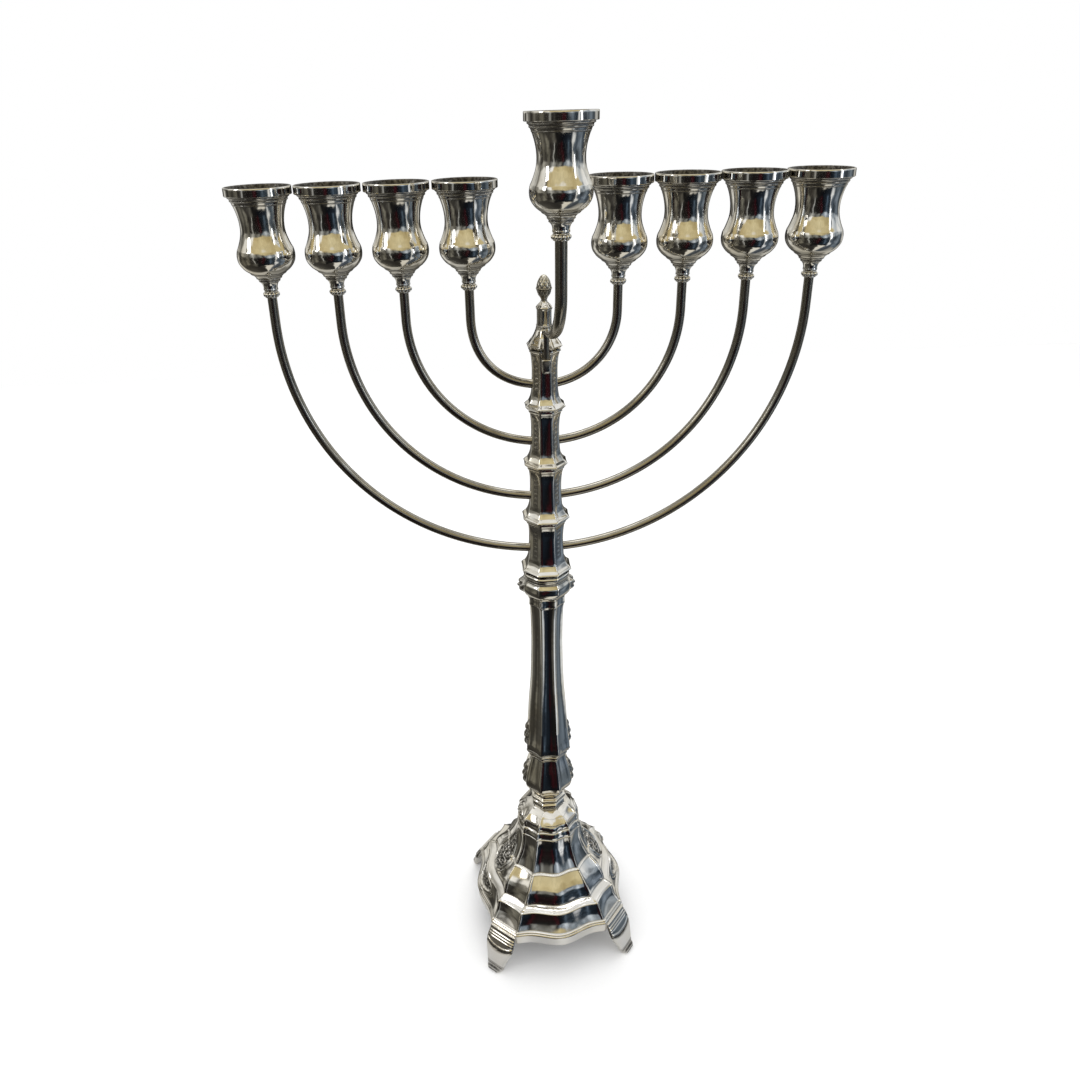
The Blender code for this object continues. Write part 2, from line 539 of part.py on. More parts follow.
def build_base(finish):
    """The hollow bell of the base, open below, with a drilled boss at its top."""
    hem = (HEM_HEIGHT, HEM_MID, HEM_SIDE, HEM_HALF_LENGTH)
    hem_top = (HEM_HEIGHT + HEM_BAND, HEM_MID, HEM_SIDE, HEM_HALF_LENGTH)
    neck_side = NECK_RING_RADIUS - 0.5 * MM
    neck = (BASE_TOP_HEIGHT, neck_side, neck_side, neck_side * math.tan(math.pi / 8))
    outer = [hem, hem_top, *BASE_TIERS, neck]
    hollow = [sizes for sizes in (hem_top, *BASE_TIERS) if sizes[0] - BASE_WALL < BOSS_UNDERSIDE - 2 * MM]
    rings = [base_ring(*sizes) for sizes in outer]
    top_ring = rings[-1]
    ceiling = ring_inside(hollow[-1], 0)
    ceiling_ring = base_ring(BOSS_UNDERSIDE, *ceiling[1:])
    rings += [as_circle(top_ring, BORE_RADIUS, height) for height in (BASE_TOP_HEIGHT, BOSS_UNDERSIDE)]
    rings += [ceiling_ring]
    rings += [base_ring(*ring_inside(sizes, BASE_WALL)) for sizes in reversed(hollow)]
    rings += [base_ring(*ring_inside(hem, 0))]
    node = place("base_shell", mesh_from_rings("base_shell", rings, wrap=True), finish["silver"])
    node.rotation_euler.z = BASE_TURN


def foot_sections():
    """Sections of a foot from the plate on the outside of the hem to the toe.

    Each is (distance from the axis, height, half width, half thickness).
    """
    corner = (HEM_SIDE + HEM_HALF_LENGTH) / math.sqrt(2)
    plate = FOOT_PLATE_THICKNESS / 2
    half = FOOT_THICKNESS / 2
    top = FOOT_TOP_HALF_WIDTH
    tip = corner + FOOT_OUTREACH
    return [
        (corner + SEAT_GAP + plate, HEM_HEIGHT + HEM_BAND - 1.0 * MM, top, plate),
        (corner + SEAT_GAP + plate + 0.2 * MM, HEM_HEIGHT + 0.6 * HEM_BAND, top, plate + 0.2 * MM),
        (corner + 0.58 * FOOT_KNEE, HEM_HEIGHT + 0.8 * MM, 1.05 * top, 0.8 * half),
        (corner + FOOT_KNEE, HEM_HEIGHT - 4.5 * MM, top, half),
        (corner + FOOT_KNEE + 2.8 * MM, 8.4 * MM, 0.76 * top, half),
        (tip - 4.2 * MM, half + 0.6 * MM, FOOT_TOE_HALF_WIDTH + 1.4 * MM, half),
        (tip - 1.6 * MM, half - 0.5 * MM, FOOT_TOE_HALF_WIDTH, half),
        (tip, 0.5 * half - 0.1 * MM, FOOT_TOE_HALF_WIDTH - 1.6 * MM, 0.55 * half),
    ]


def foot_mesh(name):
    """One tongue foot, reaching along +X, with a flat sole on the floor under its toe."""
    corners = ((-1, -0.5), (-0.7, -1), (0.7, -1), (1, -0.5), (1, 0.5), (0.7, 1), (-0.7, 1), (-1, 0.5))
    sections = foot_sections()
    last = len(sections) - 1
    rings = []
    for i, (reach, height, half_width, half_thickness) in enumerate(sections):
        before, after = sections[max(i - 1, 0)], sections[min(i + 1, last)]
        along = Vector((after[0] - before[0], 0, after[1] - before[1])).normalized()
        out = Vector((-along.z, 0, along.x))
        ring = []
        for across, through in corners:
            point = Vector((reach, across * half_width, height)) + out * through * half_thickness
            point.z = max(point.z, 0.0)
            ring.append(point)
        rings.append(ring)
    return mesh_from_rings(name, rings)


def build_feet(finish):
    """The four feet, soldered on the cut corners of the hem."""
    mesh = foot_mesh("tongue_foot")
    for name, quarter in (("back_right", 0), ("back_left", 1), ("front_left", 2), ("front_right", 3)):
        node = place(f"foot_{name}", mesh, finish["silver"])
        node.rotation_euler.z = BASE_TURN + math.pi / 4 + quarter * math.pi / 2


def build_tie_rod(finish):
    """The rod that draws base and column together, with its washer and nut in the hollow of the base."""
    nut_foot = NUT_TOP - NUT_THICKNESS
    rod_foot = nut_foot - ROD_BELOW_NUT
    outline = [(0, rod_foot), (ROD_RADIUS, rod_foot), (ROD_RADIUS, ROD_TOP), (0, ROD_TOP)]
    place("tie_rod", turned("tie_rod", outline, CUP_SIDES), finish["brass"])
    washer_foot = NUT_TOP + SEAT_GAP
    washer_top = washer_foot + WASHER_THICKNESS
    outline = [(WASHER_RADIUS, washer_foot), (WASHER_RADIUS, washer_top), (BORE_RADIUS, washer_top),
               (BORE_RADIUS, washer_foot)]
    place("clamp_washer", turned("clamp_washer", outline, CUP_SIDES), finish["brass"])
    flats = NUT_ACROSS_FLATS / 2 / math.cos(math.pi / 6)
    rings = [circle(flats, nut_foot, 6), circle(flats, NUT_TOP, 6), circle(BORE_RADIUS, NUT_TOP, 6),
             circle(BORE_RADIUS, nut_foot, 6)]
    for ring in rings[2:]:
        for i, (x, y, z) in enumerate(ring):
            ring[i] = (x / math.cos(math.pi / 6), y / math.cos(math.pi / 6), z)
    place("clamp_nut", mesh_from_rings("clamp_nut", rings, wrap=True), finish["brass"])


# ==== shamash =====================================================================================
def shamash_x(y):
    """How far to the right the shamash's arm stands at a depth in front of the column."""
    return max(0.0, TONGUE_Y - y) * math.tan(SHAMASH_SWING)


def shamash_path():
    """Centre line and half sizes of the shamash's arm, from its cup down to the tip of its tongue."""
    bend_end = TONGUE_Y - TONGUE_BEND
    depth = SHAMASH_REACH + bend_end
    tube = (SHAMASH_TUBE_RADIUS, SHAMASH_TUBE_RADIUS)
    line = [(-SHAMASH_REACH, SHAMASH_SEAT_HEIGHT + CUP_SOCKET_DEPTH - SEAT_GAP)]
    sizes = [tube]
    for step in range(9):
        angle = math.radians(90) * step / 8
        line.append((-SHAMASH_REACH + depth * (1 - math.cos(angle)),
                     BEND_FOOT + BEND_HEIGHT * (1 - math.sin(angle))))
        taper = max(0.0, step - 4) / 4
        sizes.append((tube[0] + (TONGUE_WIDTH / 2 - tube[0]) * taper * 0.8,
                      tube[1] + (TONGUE_THICKNESS / 2 - tube[1]) * taper * 0.8))
    tongue = (TONGUE_WIDTH / 2, TONGUE_THICKNESS / 2)
    for degrees in (30, 60, 90):
        angle = math.radians(degrees)
        line.append((bend_end + TONGUE_BEND * math.sin(angle),
                     BEND_FOOT - TONGUE_BEND * (1 - math.cos(angle))))
        sizes.append(tongue)
    line.append((TONGUE_Y, SOCKET_FOOT + SOCKET_FLOOR + SOCKET_CLEARANCE))
    sizes.append(tongue)
    return [Vector((shamash_x(y), y, z)) for y, z in line], sizes


def socket_mesh(name, half_width, back, front, low, high):
    """A six-faced block whose back, given as (depth at its foot, depth at its top), may slope."""
    corners = [Vector((x, y, z)) for z, y_back in ((low, back[0]), (high, back[1]))
               for x, y in ((-half_width, front), (half_width, front), (half_width, y_back),
                            (-half_width, y_back))]
    return mesh_from_rings(name, [corners[:4], corners[4:]])


def build_shamash(finish):
    """The shamash with its own arm, ferrule and cup, which lift out of a socket on the column's front."""
    slot_half = TONGUE_WIDTH / 2 + SOCKET_CLEARANCE
    slot_front = TONGUE_Y - TONGUE_THICKNESS / 2 - SOCKET_CLEARANCE
    slot_back = TONGUE_Y + TONGUE_THICKNESS / 2 + SOCKET_CLEARANCE
    waist = SEGMENT_WAISTS[-1]
    back = (-waist - SEAT_GAP, -waist - SEAT_GAP - 0.3 * SEGMENT_LIP - 0.5 * MM)
    block = socket_mesh("shamash_socket", slot_half + SOCKET_WALL, back, slot_front - SOCKET_WALL,
                        SOCKET_FOOT, SOCKET_TOP)
    node = place("shamash_socket", block, finish["silver"])
    slot = socket_mesh("socket_slot", slot_half, (slot_back, slot_back), slot_front,
                       SOCKET_FOOT + SOCKET_FLOOR, SOCKET_TOP + SOCKET_FLOOR)
    add_cutter(node, slot, "socket_slot")

    slide = bpy.data.objects.new("shamash_slide", None)
    bpy.context.scene.collection.objects.link(slide)
    slide.location = (0, TONGUE_Y, SOCKET_FOOT)
    path, sizes = shamash_path()
    across = Vector((math.cos(SHAMASH_SWING), math.sin(SHAMASH_SWING), 0))
    moved = [point - Vector(slide.location) for point in path]
    arm = mesh_from_rings("shamash_arm", tube_rings(moved, sizes, across))
    place("shamash_arm", arm, finish["arm"], slide.location, slide)
    x = shamash_x(-SHAMASH_REACH)
    place("shamash_ferrule", ferrule_mesh("shamash_ferrule", SHAMASH_TUBE_RADIUS), finish["silver"],
          (x, -SHAMASH_REACH, SHAMASH_SEAT_HEIGHT - SEAT_GAP), slide)
    place("shamash_cup", cup_mesh("shamash_cup", SHAMASH_TUBE_RADIUS), finish["silver"],
          (x, -SHAMASH_REACH, SHAMASH_SEAT_HEIGHT), slide)


def main():
    """Build the whole menorah."""
    clear_scene()
    finish = {
        "silver": make_material("polished_silver_plate", (0.86, 0.85, 0.83), 0.08),
        "arm": make_material("worn_silver_plate", (0.66, 0.63, 0.57), 0.2),
        "antique": make_material("antique_silver", (0.55, 0.52, 0.45), 0.35),
        "brass": make_material("plain_brass", (0.70, 0.52, 0.25), 0.3),
    }
    build_base(finish)
    build_feet(finish)
    build_tie_rod(finish)
    build_shaft(finish)
    build_segments(finish)
    build_top(finish)
    build_arms(finish)
    build_shamash(finish)
    bpy.context.view_layer.update()


main()
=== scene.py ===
"""Looks of a nine-light menorah in silver-plated brass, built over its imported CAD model.

Each sub-assembly is a class. Its fields are sizes in millimetres, its places come from the boxes of the
CAD nodes that it stands for, and its methods build finished meshes in world space and dress them. The
column stands on the Z axis, the arms lie in the plane Y = 0 and the shamash stands in front, towards -Y.
"""
import logging
import math
from dataclasses import dataclass
from enum import Enum
from typing import Any

import bmesh
import bpy
import numpy as np
from mathutils import Matrix, Vector


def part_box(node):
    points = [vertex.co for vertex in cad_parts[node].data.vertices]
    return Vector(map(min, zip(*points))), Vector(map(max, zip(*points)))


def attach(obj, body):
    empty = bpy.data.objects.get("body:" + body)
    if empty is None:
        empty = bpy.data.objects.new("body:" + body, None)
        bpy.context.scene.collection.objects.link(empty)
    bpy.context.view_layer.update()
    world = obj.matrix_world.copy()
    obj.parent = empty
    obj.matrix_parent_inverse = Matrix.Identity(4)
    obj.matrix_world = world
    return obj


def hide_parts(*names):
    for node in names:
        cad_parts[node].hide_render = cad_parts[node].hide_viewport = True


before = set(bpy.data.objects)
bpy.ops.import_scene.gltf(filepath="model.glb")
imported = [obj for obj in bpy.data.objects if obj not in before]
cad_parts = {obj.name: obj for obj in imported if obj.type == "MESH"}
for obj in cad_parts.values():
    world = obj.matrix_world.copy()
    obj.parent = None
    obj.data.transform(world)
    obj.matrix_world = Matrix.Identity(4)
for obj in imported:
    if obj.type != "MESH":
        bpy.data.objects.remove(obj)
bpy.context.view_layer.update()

LOG = logging.getLogger("menorah")
MM = 0.001
EIGHTH = math.pi / 8
TARNISH = "tarnish"          # point attribute: 0 on bright plate, 1 in an oxidised recess
MATT = "matt"                # point attribute: 0 where buffed, 1 where only brushed


class Body(Enum):
    """The two CAD bodies that pieces ride on."""

    STAND = "stand"
    SHAMASH = "shamash"


class Slot(Enum):
    """The record's material slots."""

    POLISHED = "polished_plate"
    BASE = "bright_base_plate"
    TUBE = "drawn_tube_plate"
    ANTIQUE = "antiqued_plate"
    BRASS = "plain_brass"


class Ends(Enum):
    """How the first and last ring of a skinned mesh are finished."""

    WRAP = "joined to each other"
    CLOSED = "each closed by one face"


class Facet(Enum):
    """Facets of the octagonal column by the way they face."""

    RIGHT = 0
    LEFT = 4
    FRONT = 6


# ==== meshes ======================================================================================
def srgb(code: str) -> tuple[float, float, float, float]:
    """Turn an sRGB hex colour into linear light.

    Args:
        code: Six hex digits, with or without a hash.

    Returns:
        Red, green, blue and an alpha of one.
    """
    digits = code.lstrip("#")
    shares = (int(digits[i:i + 2], 16) / 255 for i in (0, 2, 4))
    linear = [c / 12.92 if c <= 0.04045 else ((c + 0.055) / 1.055) ** 2.4 for c in shares]
    return (*linear, 1.0)


def close_mesh(mesh: bpy.types.Mesh, sharp_degrees: float) -> bpy.types.Mesh:
    """Merge doubled points, turn the faces outwards and shade the mesh smooth up to an angle.

    Args:
        mesh: The mesh.
        sharp_degrees: Edges that bend more than this stay sharp.

    Returns:
        The same mesh.
    """
    shape = bmesh.new()
    shape.from_mesh(mesh)
    bmesh.ops.remove_doubles(shape, verts=shape.verts, dist=1e-7)
    bmesh.ops.dissolve_degenerate(shape, edges=shape.edges, dist=1e-8)
    bmesh.ops.recalc_face_normals(shape, faces=shape.faces)
    shape.to_mesh(mesh)
    shape.free()
    mesh.shade_smooth()
    mesh.set_sharp_from_angle(angle=math.radians(sharp_degrees))
    return mesh


def skin(name: str, rings: np.ndarray, tarnish: np.ndarray | float, ends: Ends,
         sharp_degrees: float = 38.0, matt: np.ndarray | float = 0.0) -> bpy.types.Mesh:
    """Skin a stack of rings into one closed mesh.

    Args:
        name: Name of the mesh.
        rings: Points in millimetres, as (ring, point on the ring, xyz).
        tarnish: Oxide on each point, as (ring, point), (ring, 1) or one number.
        ends: What becomes of the first and the last ring.
        sharp_degrees: Edges that bend more than this stay sharp.
        matt: How matt each point is, given as the oxide is.

    Returns:
        The mesh, in metres.
    """
    count, around = rings.shape[:2]
    index = np.arange(count * around).reshape(count, around)
    low, high = (index, np.roll(index, -1, axis=0)) if ends is Ends.WRAP else (index[:-1], index[1:])
    quads = np.stack([low, np.roll(low, -1, axis=1), np.roll(high, -1, axis=1), high], axis=-1)
    faces = quads.reshape(-1, 4).tolist()
    if ends is Ends.CLOSED:
        faces += [index[0][::-1].tolist(), index[-1].tolist()]
    mesh = bpy.data.meshes.new(name)
    mesh.from_pydata((rings.reshape(-1, 3) * MM).tolist(), [], faces)
    for label, given in ((TARNISH, tarnish), (MATT, matt)):
        layer = mesh.attributes.new(label, "FLOAT", "POINT")
        values = np.broadcast_to(np.asarray(given, float), (count, around))
        layer.data.foreach_set("value", np.ascontiguousarray(values, np.float32).ravel())
    return close_mesh(mesh, sharp_degrees)


def smooth(points: list[tuple[float, ...]], steps: int = 8) -> np.ndarray:
    """Points on a Catmull-Rom curve through the given ones.

    Args:
        points: The points that the curve goes through.
        steps: How many points it gets for each stretch between two of them.

    Returns:
        The curve, with its two ends kept.
    """
    knots = np.array([points[0], *points, points[-1]], float)
    curve = []
    for a, b, c, d in zip(knots, knots[1:], knots[2:], knots[3:]):
        for t in np.arange(steps) / steps:
            curve.append(0.5 * (2 * b + (c - a) * t + (2 * a - 5 * b + 4 * c - d) * t * t
                                + (3 * b - a - 3 * c + d) * t ** 3))
    return np.array([*curve, knots[-1]])


def travel(points: np.ndarray) -> np.ndarray:
    """Distance travelled along a line of (x, y) points, from nought."""
    return np.concatenate([[0], np.cumsum(np.hypot(*np.diff(points, axis=0).T))])


@dataclass(frozen=True)
class Moulding:
    """A fine ring cut or raised on a turned or cast piece."""

    height: float
    half: float
    out: float

    def swell(self, heights: np.ndarray) -> np.ndarray:
        """How far it stands out at the given heights."""
        return self.out * np.sqrt(np.clip(1 - ((heights - self.height) / self.half) ** 2, 0, 1))

    def heights(self) -> np.ndarray:
        """Heights at which a mesh needs a ring to show it."""
        return self.height + self.half * np.array((-1.25, -1, -0.9, -0.6, 0, 0.6, 0.9, 1, 1.25))

    def grime(self, heights: np.ndarray) -> np.ndarray:
        """Oxide that polishing leaves in its two corners."""
        gap = np.abs(np.abs(heights - self.height) - 1.1 * self.half)
        return 0.75 * np.exp(-(gap / (0.55 * self.half)) ** 2)


@dataclass(frozen=True)
class Outline:
    """The outside of a turned or cast piece: its curve from the foot up, and its fine mouldings."""

    curve: np.ndarray
    mouldings: tuple[Moulding, ...] = ()
    pitch: float = 0.8

    def heights(self, extra: tuple[float, ...] = ()) -> np.ndarray:
        """All the heights that get a ring, lowest first.

        Args:
            extra: Further heights that need one.

        Returns:
            The heights.
        """
        low, high = self.curve[0, 1], self.curve[-1, 1]
        steps = max(2, int((high - low) / self.pitch))
        marks = [np.linspace(low, high, steps), self.curve[:, 1], np.array(extra, float)]
        marks += [moulding.heights() for moulding in self.mouldings]
        found = np.unique(np.concatenate(marks).round(3))
        return found[(found >= low) & (found <= high)]

    def radii(self, heights: np.ndarray) -> np.ndarray:
        """Radius at the given heights, with the mouldings."""
        radii = np.interp(heights, self.curve[:, 1], self.curve[:, 0])
        return radii + sum(moulding.swell(heights) for moulding in self.mouldings)

    def grime(self, heights: np.ndarray) -> np.ndarray:
        """Oxide at the given heights."""
        return np.clip(sum(m.grime(heights) for m in self.mouldings) + 0 * heights, 0, 1)


def lathe(outline: np.ndarray, sides: int, centre: tuple[float, float, float]) -> np.ndarray:
    """Rings of a turned piece.

    Args:
        outline: Its (radius, height) points.
        sides: Points on each ring.
        centre: Where the outline's origin stands, in millimetres.

    Returns:
        Points as (ring, point, xyz).
    """
    angles = np.arange(sides) * 2 * math.pi / sides
    radii, heights = outline[:, :1], outline[:, 1:2] + 0 * angles
    rings = np.stack([radii * np.cos(angles), radii * np.sin(angles), heights], axis=-1)
    return rings + np.array(centre)


def spun(points: np.ndarray, angle: float) -> np.ndarray:
    """Points given as (..., xyz), turned about the Z axis."""
    c, s = math.cos(angle), math.sin(angle)
    x, y = points[..., 0], points[..., 1]
    return np.stack([x * c - y * s, x * s + y * c, points[..., 2]], axis=-1)


def place_of(node: str) -> tuple[np.ndarray, np.ndarray]:
    """The lowest and highest corner of a CAD node, in millimetres."""
    low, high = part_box(node)
    return np.array(low) / MM, np.array(high) / MM


def seat_of(node: str) -> tuple[float, float, float]:
    """The middle of a CAD node's foot, in millimetres."""
    low, high = place_of(node)
    return (low[0] + high[0]) / 2, (low[1] + high[1]) / 2, low[2]


def dress(mesh: bpy.types.Mesh, name: str, material: bpy.types.Material, body: Body, slot: Slot,
          *nodes: str) -> bpy.types.Object:
    """Make a finished piece of a mesh, on its body and in place of its CAD nodes.

    Args:
        mesh: The mesh, in world space.
        name: Name of the piece.
        material: Its finish.
        body: The CAD body that it rides on.
        slot: The record's slot of its finish. Not used.
        nodes: The CAD nodes that it stands for.

    Returns:
        The piece.
    """
    piece = bpy.data.objects.new(name, mesh)
    bpy.context.scene.collection.objects.link(piece)
    mesh.materials.clear()
    mesh.materials.append(material)
    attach(piece, body.value)
    if nodes:
        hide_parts(*nodes)
    LOG.info("%s: %d faces on %s", name, len(mesh.polygons), body.value)
    return piece


# ==== nodes =======================================================================================
def add(tree: bpy.types.NodeTree, kind: str, settings: dict[str, Any] | None = None,
        feeds: dict[str | int, Any] | None = None,
        stops: tuple[tuple[float, str], ...] = ()) -> bpy.types.Node:
    """Add a node, set its properties, and set or link its inputs.

    Args:
        tree: The tree that gets the node.
        kind: The node's type.
        settings: Its properties by name.
        feeds: For an input, by name or number, a value or the output that is linked to it.
        stops: For a colour ramp, its positions from 0 to 1 and their sRGB colours.

    Returns:
        The node.
    """
    node = tree.nodes.new(kind)
    for name, value in (settings or {}).items():
        setattr(node, name, value)
    for number, (position, code) in enumerate(stops):
        elements = node.color_ramp.elements
        stop = elements[number] if number < 2 else elements.new(position)
        stop.position, stop.color = position, srgb(code)
    for key, value in (feeds or {}).items():
        if isinstance(value, bpy.types.NodeSocket):
            tree.links.new(value, node.inputs[key])
        else:
            node.inputs[key].default_value = value
    return node


def empty_tree(owner: bpy.types.Material | bpy.types.World) -> bpy.types.NodeTree:
    """Give a material or a world an empty node tree."""
    owner.use_nodes = True
    owner.node_tree.nodes.clear()
    return owner.node_tree


def per_mm(size: float) -> float:
    """Texture scale whose features are this many millimetres across."""
    return 1 / (size * MM)


@dataclass(frozen=True)
class PlateFinish:
    """Silver plate over brass, as it was left by the maker and by years of polishing.

    Colours are sRGB, and sizes are in millimetres.
    """

    name: str
    clean: str
    warm: str
    oxide: str
    roughness: float
    dulling: float               # how much rougher the duller patches are
    warm_share: float            # how far the warm patches go towards their colour
    patch: float                 # size of the patches
    wave: float                  # spacing of the slight waves that hand polishing leaves
    wave_height: float
    scratch: float               # width of a polishing scratch, drawn as coarse as it needs to show
    scratch_height: float
    speckle: float = 1.4         # size of the flecks in the oxide
    matt_roughness: float = 0.42 # how much rougher a brushed surface is than a buffed one
    matt_whiteness: float = 0.55 # how much less it mirrors
    grime_roughness: float = 0.4

    def material(self) -> bpy.types.Material:
        """Build the finish as a material.

        Returns:
            The material.
        """
        material = bpy.data.materials.new(self.name)
        tree = empty_tree(material)
        spot = add(tree, "ShaderNodeTexCoord").outputs["Object"]
        patches = add(tree, "ShaderNodeTexNoise", {}, {
            "Vector": spot, "Scale": per_mm(self.patch), "Detail": 4.0, "Roughness": 0.55})
        warmth = add(tree, "ShaderNodeMapRange", {}, {
            "Value": patches.outputs[0], "From Min": 0.42, "From Max": 0.68, "To Min": 0.0,
            "To Max": self.warm_share})
        plate = add(tree, "ShaderNodeMix", {"data_type": "RGBA"}, {
            "Factor": warmth.outputs[0], "A": srgb(self.clean), "B": srgb(self.warm)})
        recess = add(tree, "ShaderNodeAttribute", {"attribute_name": TARNISH})
        speckle = add(tree, "ShaderNodeTexNoise", {}, {
            "Vector": spot, "Scale": per_mm(self.speckle), "Detail": 3.0})
        uneven = add(tree, "ShaderNodeMapRange", {}, {
            "Value": speckle.outputs[0], "From Min": 0.3, "From Max": 0.6, "To Min": 0.82})
        grime = add(tree, "ShaderNodeMath", {"operation": "MULTIPLY"}, {
            0: recess.outputs["Fac"], 1: uneven.outputs[0]})
        colour = add(tree, "ShaderNodeMix", {"data_type": "RGBA"}, {
            "Factor": grime.outputs[0], "A": plate.outputs["Result"], "B": srgb(self.oxide)})
        dull = add(tree, "ShaderNodeMapRange", {}, {
            "Value": patches.outputs[0], "From Min": 0.35, "From Max": 0.7,
            "To Min": self.roughness, "To Max": self.roughness + self.dulling})
        brushed = add(tree, "ShaderNodeAttribute", {"attribute_name": MATT})
        duller = add(tree, "ShaderNodeMath", {"operation": "MULTIPLY_ADD"}, {
            0: brushed.outputs["Fac"], 1: self.matt_roughness, 2: dull.outputs[0]})
        bare = add(tree, "ShaderNodeMath", {"operation": "MULTIPLY_ADD"}, {
            0: brushed.outputs["Fac"], 1: -self.matt_whiteness, 2: 1.0})
        rough = add(tree, "ShaderNodeMath", {"operation": "MULTIPLY_ADD", "use_clamp": True}, {
            0: grime.outputs[0], 1: self.grime_roughness, 2: duller.outputs[0]})
        waves = add(tree, "ShaderNodeTexNoise", {}, {
            "Vector": spot, "Scale": per_mm(self.wave), "Detail": 1.0})
        wavy = add(tree, "ShaderNodeBump", {}, {
            "Height": waves.outputs[0], "Distance": self.wave_height * MM, "Strength": 1.0})
        lines = add(tree, "ShaderNodeTexNoise", {}, {
            "Vector": spot, "Scale": per_mm(self.scratch), "Detail": 2.0})
        scratched = add(tree, "ShaderNodeBump", {}, {
            "Height": lines.outputs[0], "Distance": self.scratch_height * MM, "Strength": 1.0,
            "Normal": wavy.outputs[0]})
        shader = add(tree, "ShaderNodeBsdfPrincipled", {}, {
            "Base Color": colour.outputs["Result"], "Metallic": bare.outputs[0],
            "Roughness": rough.outputs[0], "Normal": scratched.outputs[0]})
        add(tree, "ShaderNodeOutputMaterial", {}, {"Surface": shader.outputs[0]})
        return material


# Bright electroplated silver, buffed to a mirror: neutral, with faint yellowing in patches.
POLISHED_PLATE = PlateFinish(
    "polished_silver_plate", clean="#EFEDE8", warm="#DCCFB0", oxide="#2A2622", roughness=0.05,
    dulling=0.06, warm_share=0.4, patch=24.0, wave=8.0, wave_height=0.09, scratch=0.5,
    scratch_height=0.0003)
# The same plate on the spun and stamped base: whiter, and its embossing keeps black oxide.
BASE_PLATE = PlateFinish(
    "stamped_silver_plate", clean="#F4F2EE", warm="#E6DCC4", oxide="#26231F", roughness=0.05,
    dulling=0.06, warm_share=0.35, patch=30.0, wave=8.0, wave_height=0.08, scratch=0.5,
    scratch_height=0.0003)
# Plate on drawn tube, handled and less buffed: greyer and warmer, with softer reflections.
TUBE_PLATE = PlateFinish(
    "drawn_tube_plate", clean="#B0ACA2", warm="#978D77", oxide="#332E26", roughness=0.13,
    dulling=0.12, warm_share=0.6, patch=14.0, wave=6.0, wave_height=0.02, scratch=0.4,
    scratch_height=0.0006)
# Cast ornament whose plate has worn to a soft beige, with dark oxide left in its hollows.
ANTIQUE_PLATE = PlateFinish(
    "antiqued_silver_plate", clean="#DDD9CD", warm="#AA9C7A", oxide="#2E2A22", roughness=0.22,
    dulling=0.14, warm_share=0.7, patch=5.0, wave=3.0, wave_height=0.03, scratch=0.6,
    scratch_height=0.006)
# Turned brass that was never plated, dulled in the hollow of the base.
TURNED_BRASS = PlateFinish(
    "turned_brass", clean="#C9A45C", warm="#9A7436", oxide="#3B2C16", roughness=0.24,
    dulling=0.16, warm_share=0.6, patch=6.0, wave=2.0, wave_height=0.004, scratch=0.3,
    scratch_height=0.003)


def geometry_tree(name: str, inputs: dict[str, tuple[str, Any]]) -> tuple[bpy.types.NodeTree, Any, dict]:
    """Start a Geometry Nodes tree with a geometry input and output and named sizes.

    Args:
        name: Name of the tree.
        inputs: For each size, its socket type and its first value.

    Returns:
        The tree, its input node and the identifier of each named input.
    """
    tree = bpy.data.node_groups.new(name, "GeometryNodeTree")
    tree.interface.new_socket("Geometry", in_out="INPUT", socket_type="NodeSocketGeometry")
    tree.interface.new_socket("Geometry", in_out="OUTPUT", socket_type="NodeSocketGeometry")
    keys = {}
    for label, (kind, value) in inputs.items():
        socket = tree.interface.new_socket(label, in_out="INPUT", socket_type=kind)
        if value is not None:
            socket.default_value = value
        keys[label] = socket.identifier
    return tree, tree.nodes.new("NodeGroupInput"), keys


def end_tree(tree: bpy.types.NodeTree, shape: bpy.types.NodeSocket, material: bpy.types.NodeSocket,
             grime: bpy.types.NodeSocket | float) -> None:
    """Finish a tree: smooth shading, oxide, Realize Instances and Set Material.

    Args:
        tree: The tree.
        shape: Its geometry so far.
        material: The input that holds the finish.
        grime: Oxide on the points, as a field or one number.
    """
    real = add(tree, "GeometryNodeRealizeInstances", {}, {"Geometry": shape})
    shaded = add(tree, "GeometryNodeSetShadeSmooth", {}, {"Geometry": real.outputs[0]})
    stored = add(tree, "GeometryNodeStoreNamedAttribute", {"data_type": "FLOAT", "domain": "POINT"}, {
        "Geometry": shaded.outputs[0], "Name": TARNISH, "Value": grime})
    final = add(tree, "GeometryNodeRealizeInstances", {}, {"Geometry": stored.outputs[0]})
    painted = add(tree, "GeometryNodeSetMaterial", {}, {
        "Geometry": final.outputs[0], "Material": material})
    add(tree, "NodeGroupOutput", {}, {"Geometry": painted.outputs[0]})


def grow(seed: bpy.types.Mesh, tree: bpy.types.NodeTree, keys: dict[str, str],
         values: dict[str, Any]) -> bpy.types.Mesh:
    """Run a Geometry Nodes tree on a mesh and keep the result as a plain mesh.

    Args:
        seed: The mesh that the tree starts from.
        tree: The tree.
        keys: The identifier of each named input.
        values: A value for each of them.

    Returns:
        The plain mesh, with its faces outwards.
    """
    holder = bpy.data.objects.new(seed.name, seed)
    bpy.context.scene.collection.objects.link(holder)
    modifier = holder.modifiers.new(tree.name, "NODES")
    modifier.node_group = tree
    for label, value in values.items():
        modifier[keys[label]] = value
    bpy.context.view_layer.update()
    evaluated = holder.evaluated_get(bpy.context.evaluated_depsgraph_get())
    mesh = bpy.data.meshes.new_from_object(evaluated)
    holder.modifiers.remove(modifier)
    bpy.data.objects.remove(holder, do_unlink=True)
    return close_mesh(mesh, 40.0)


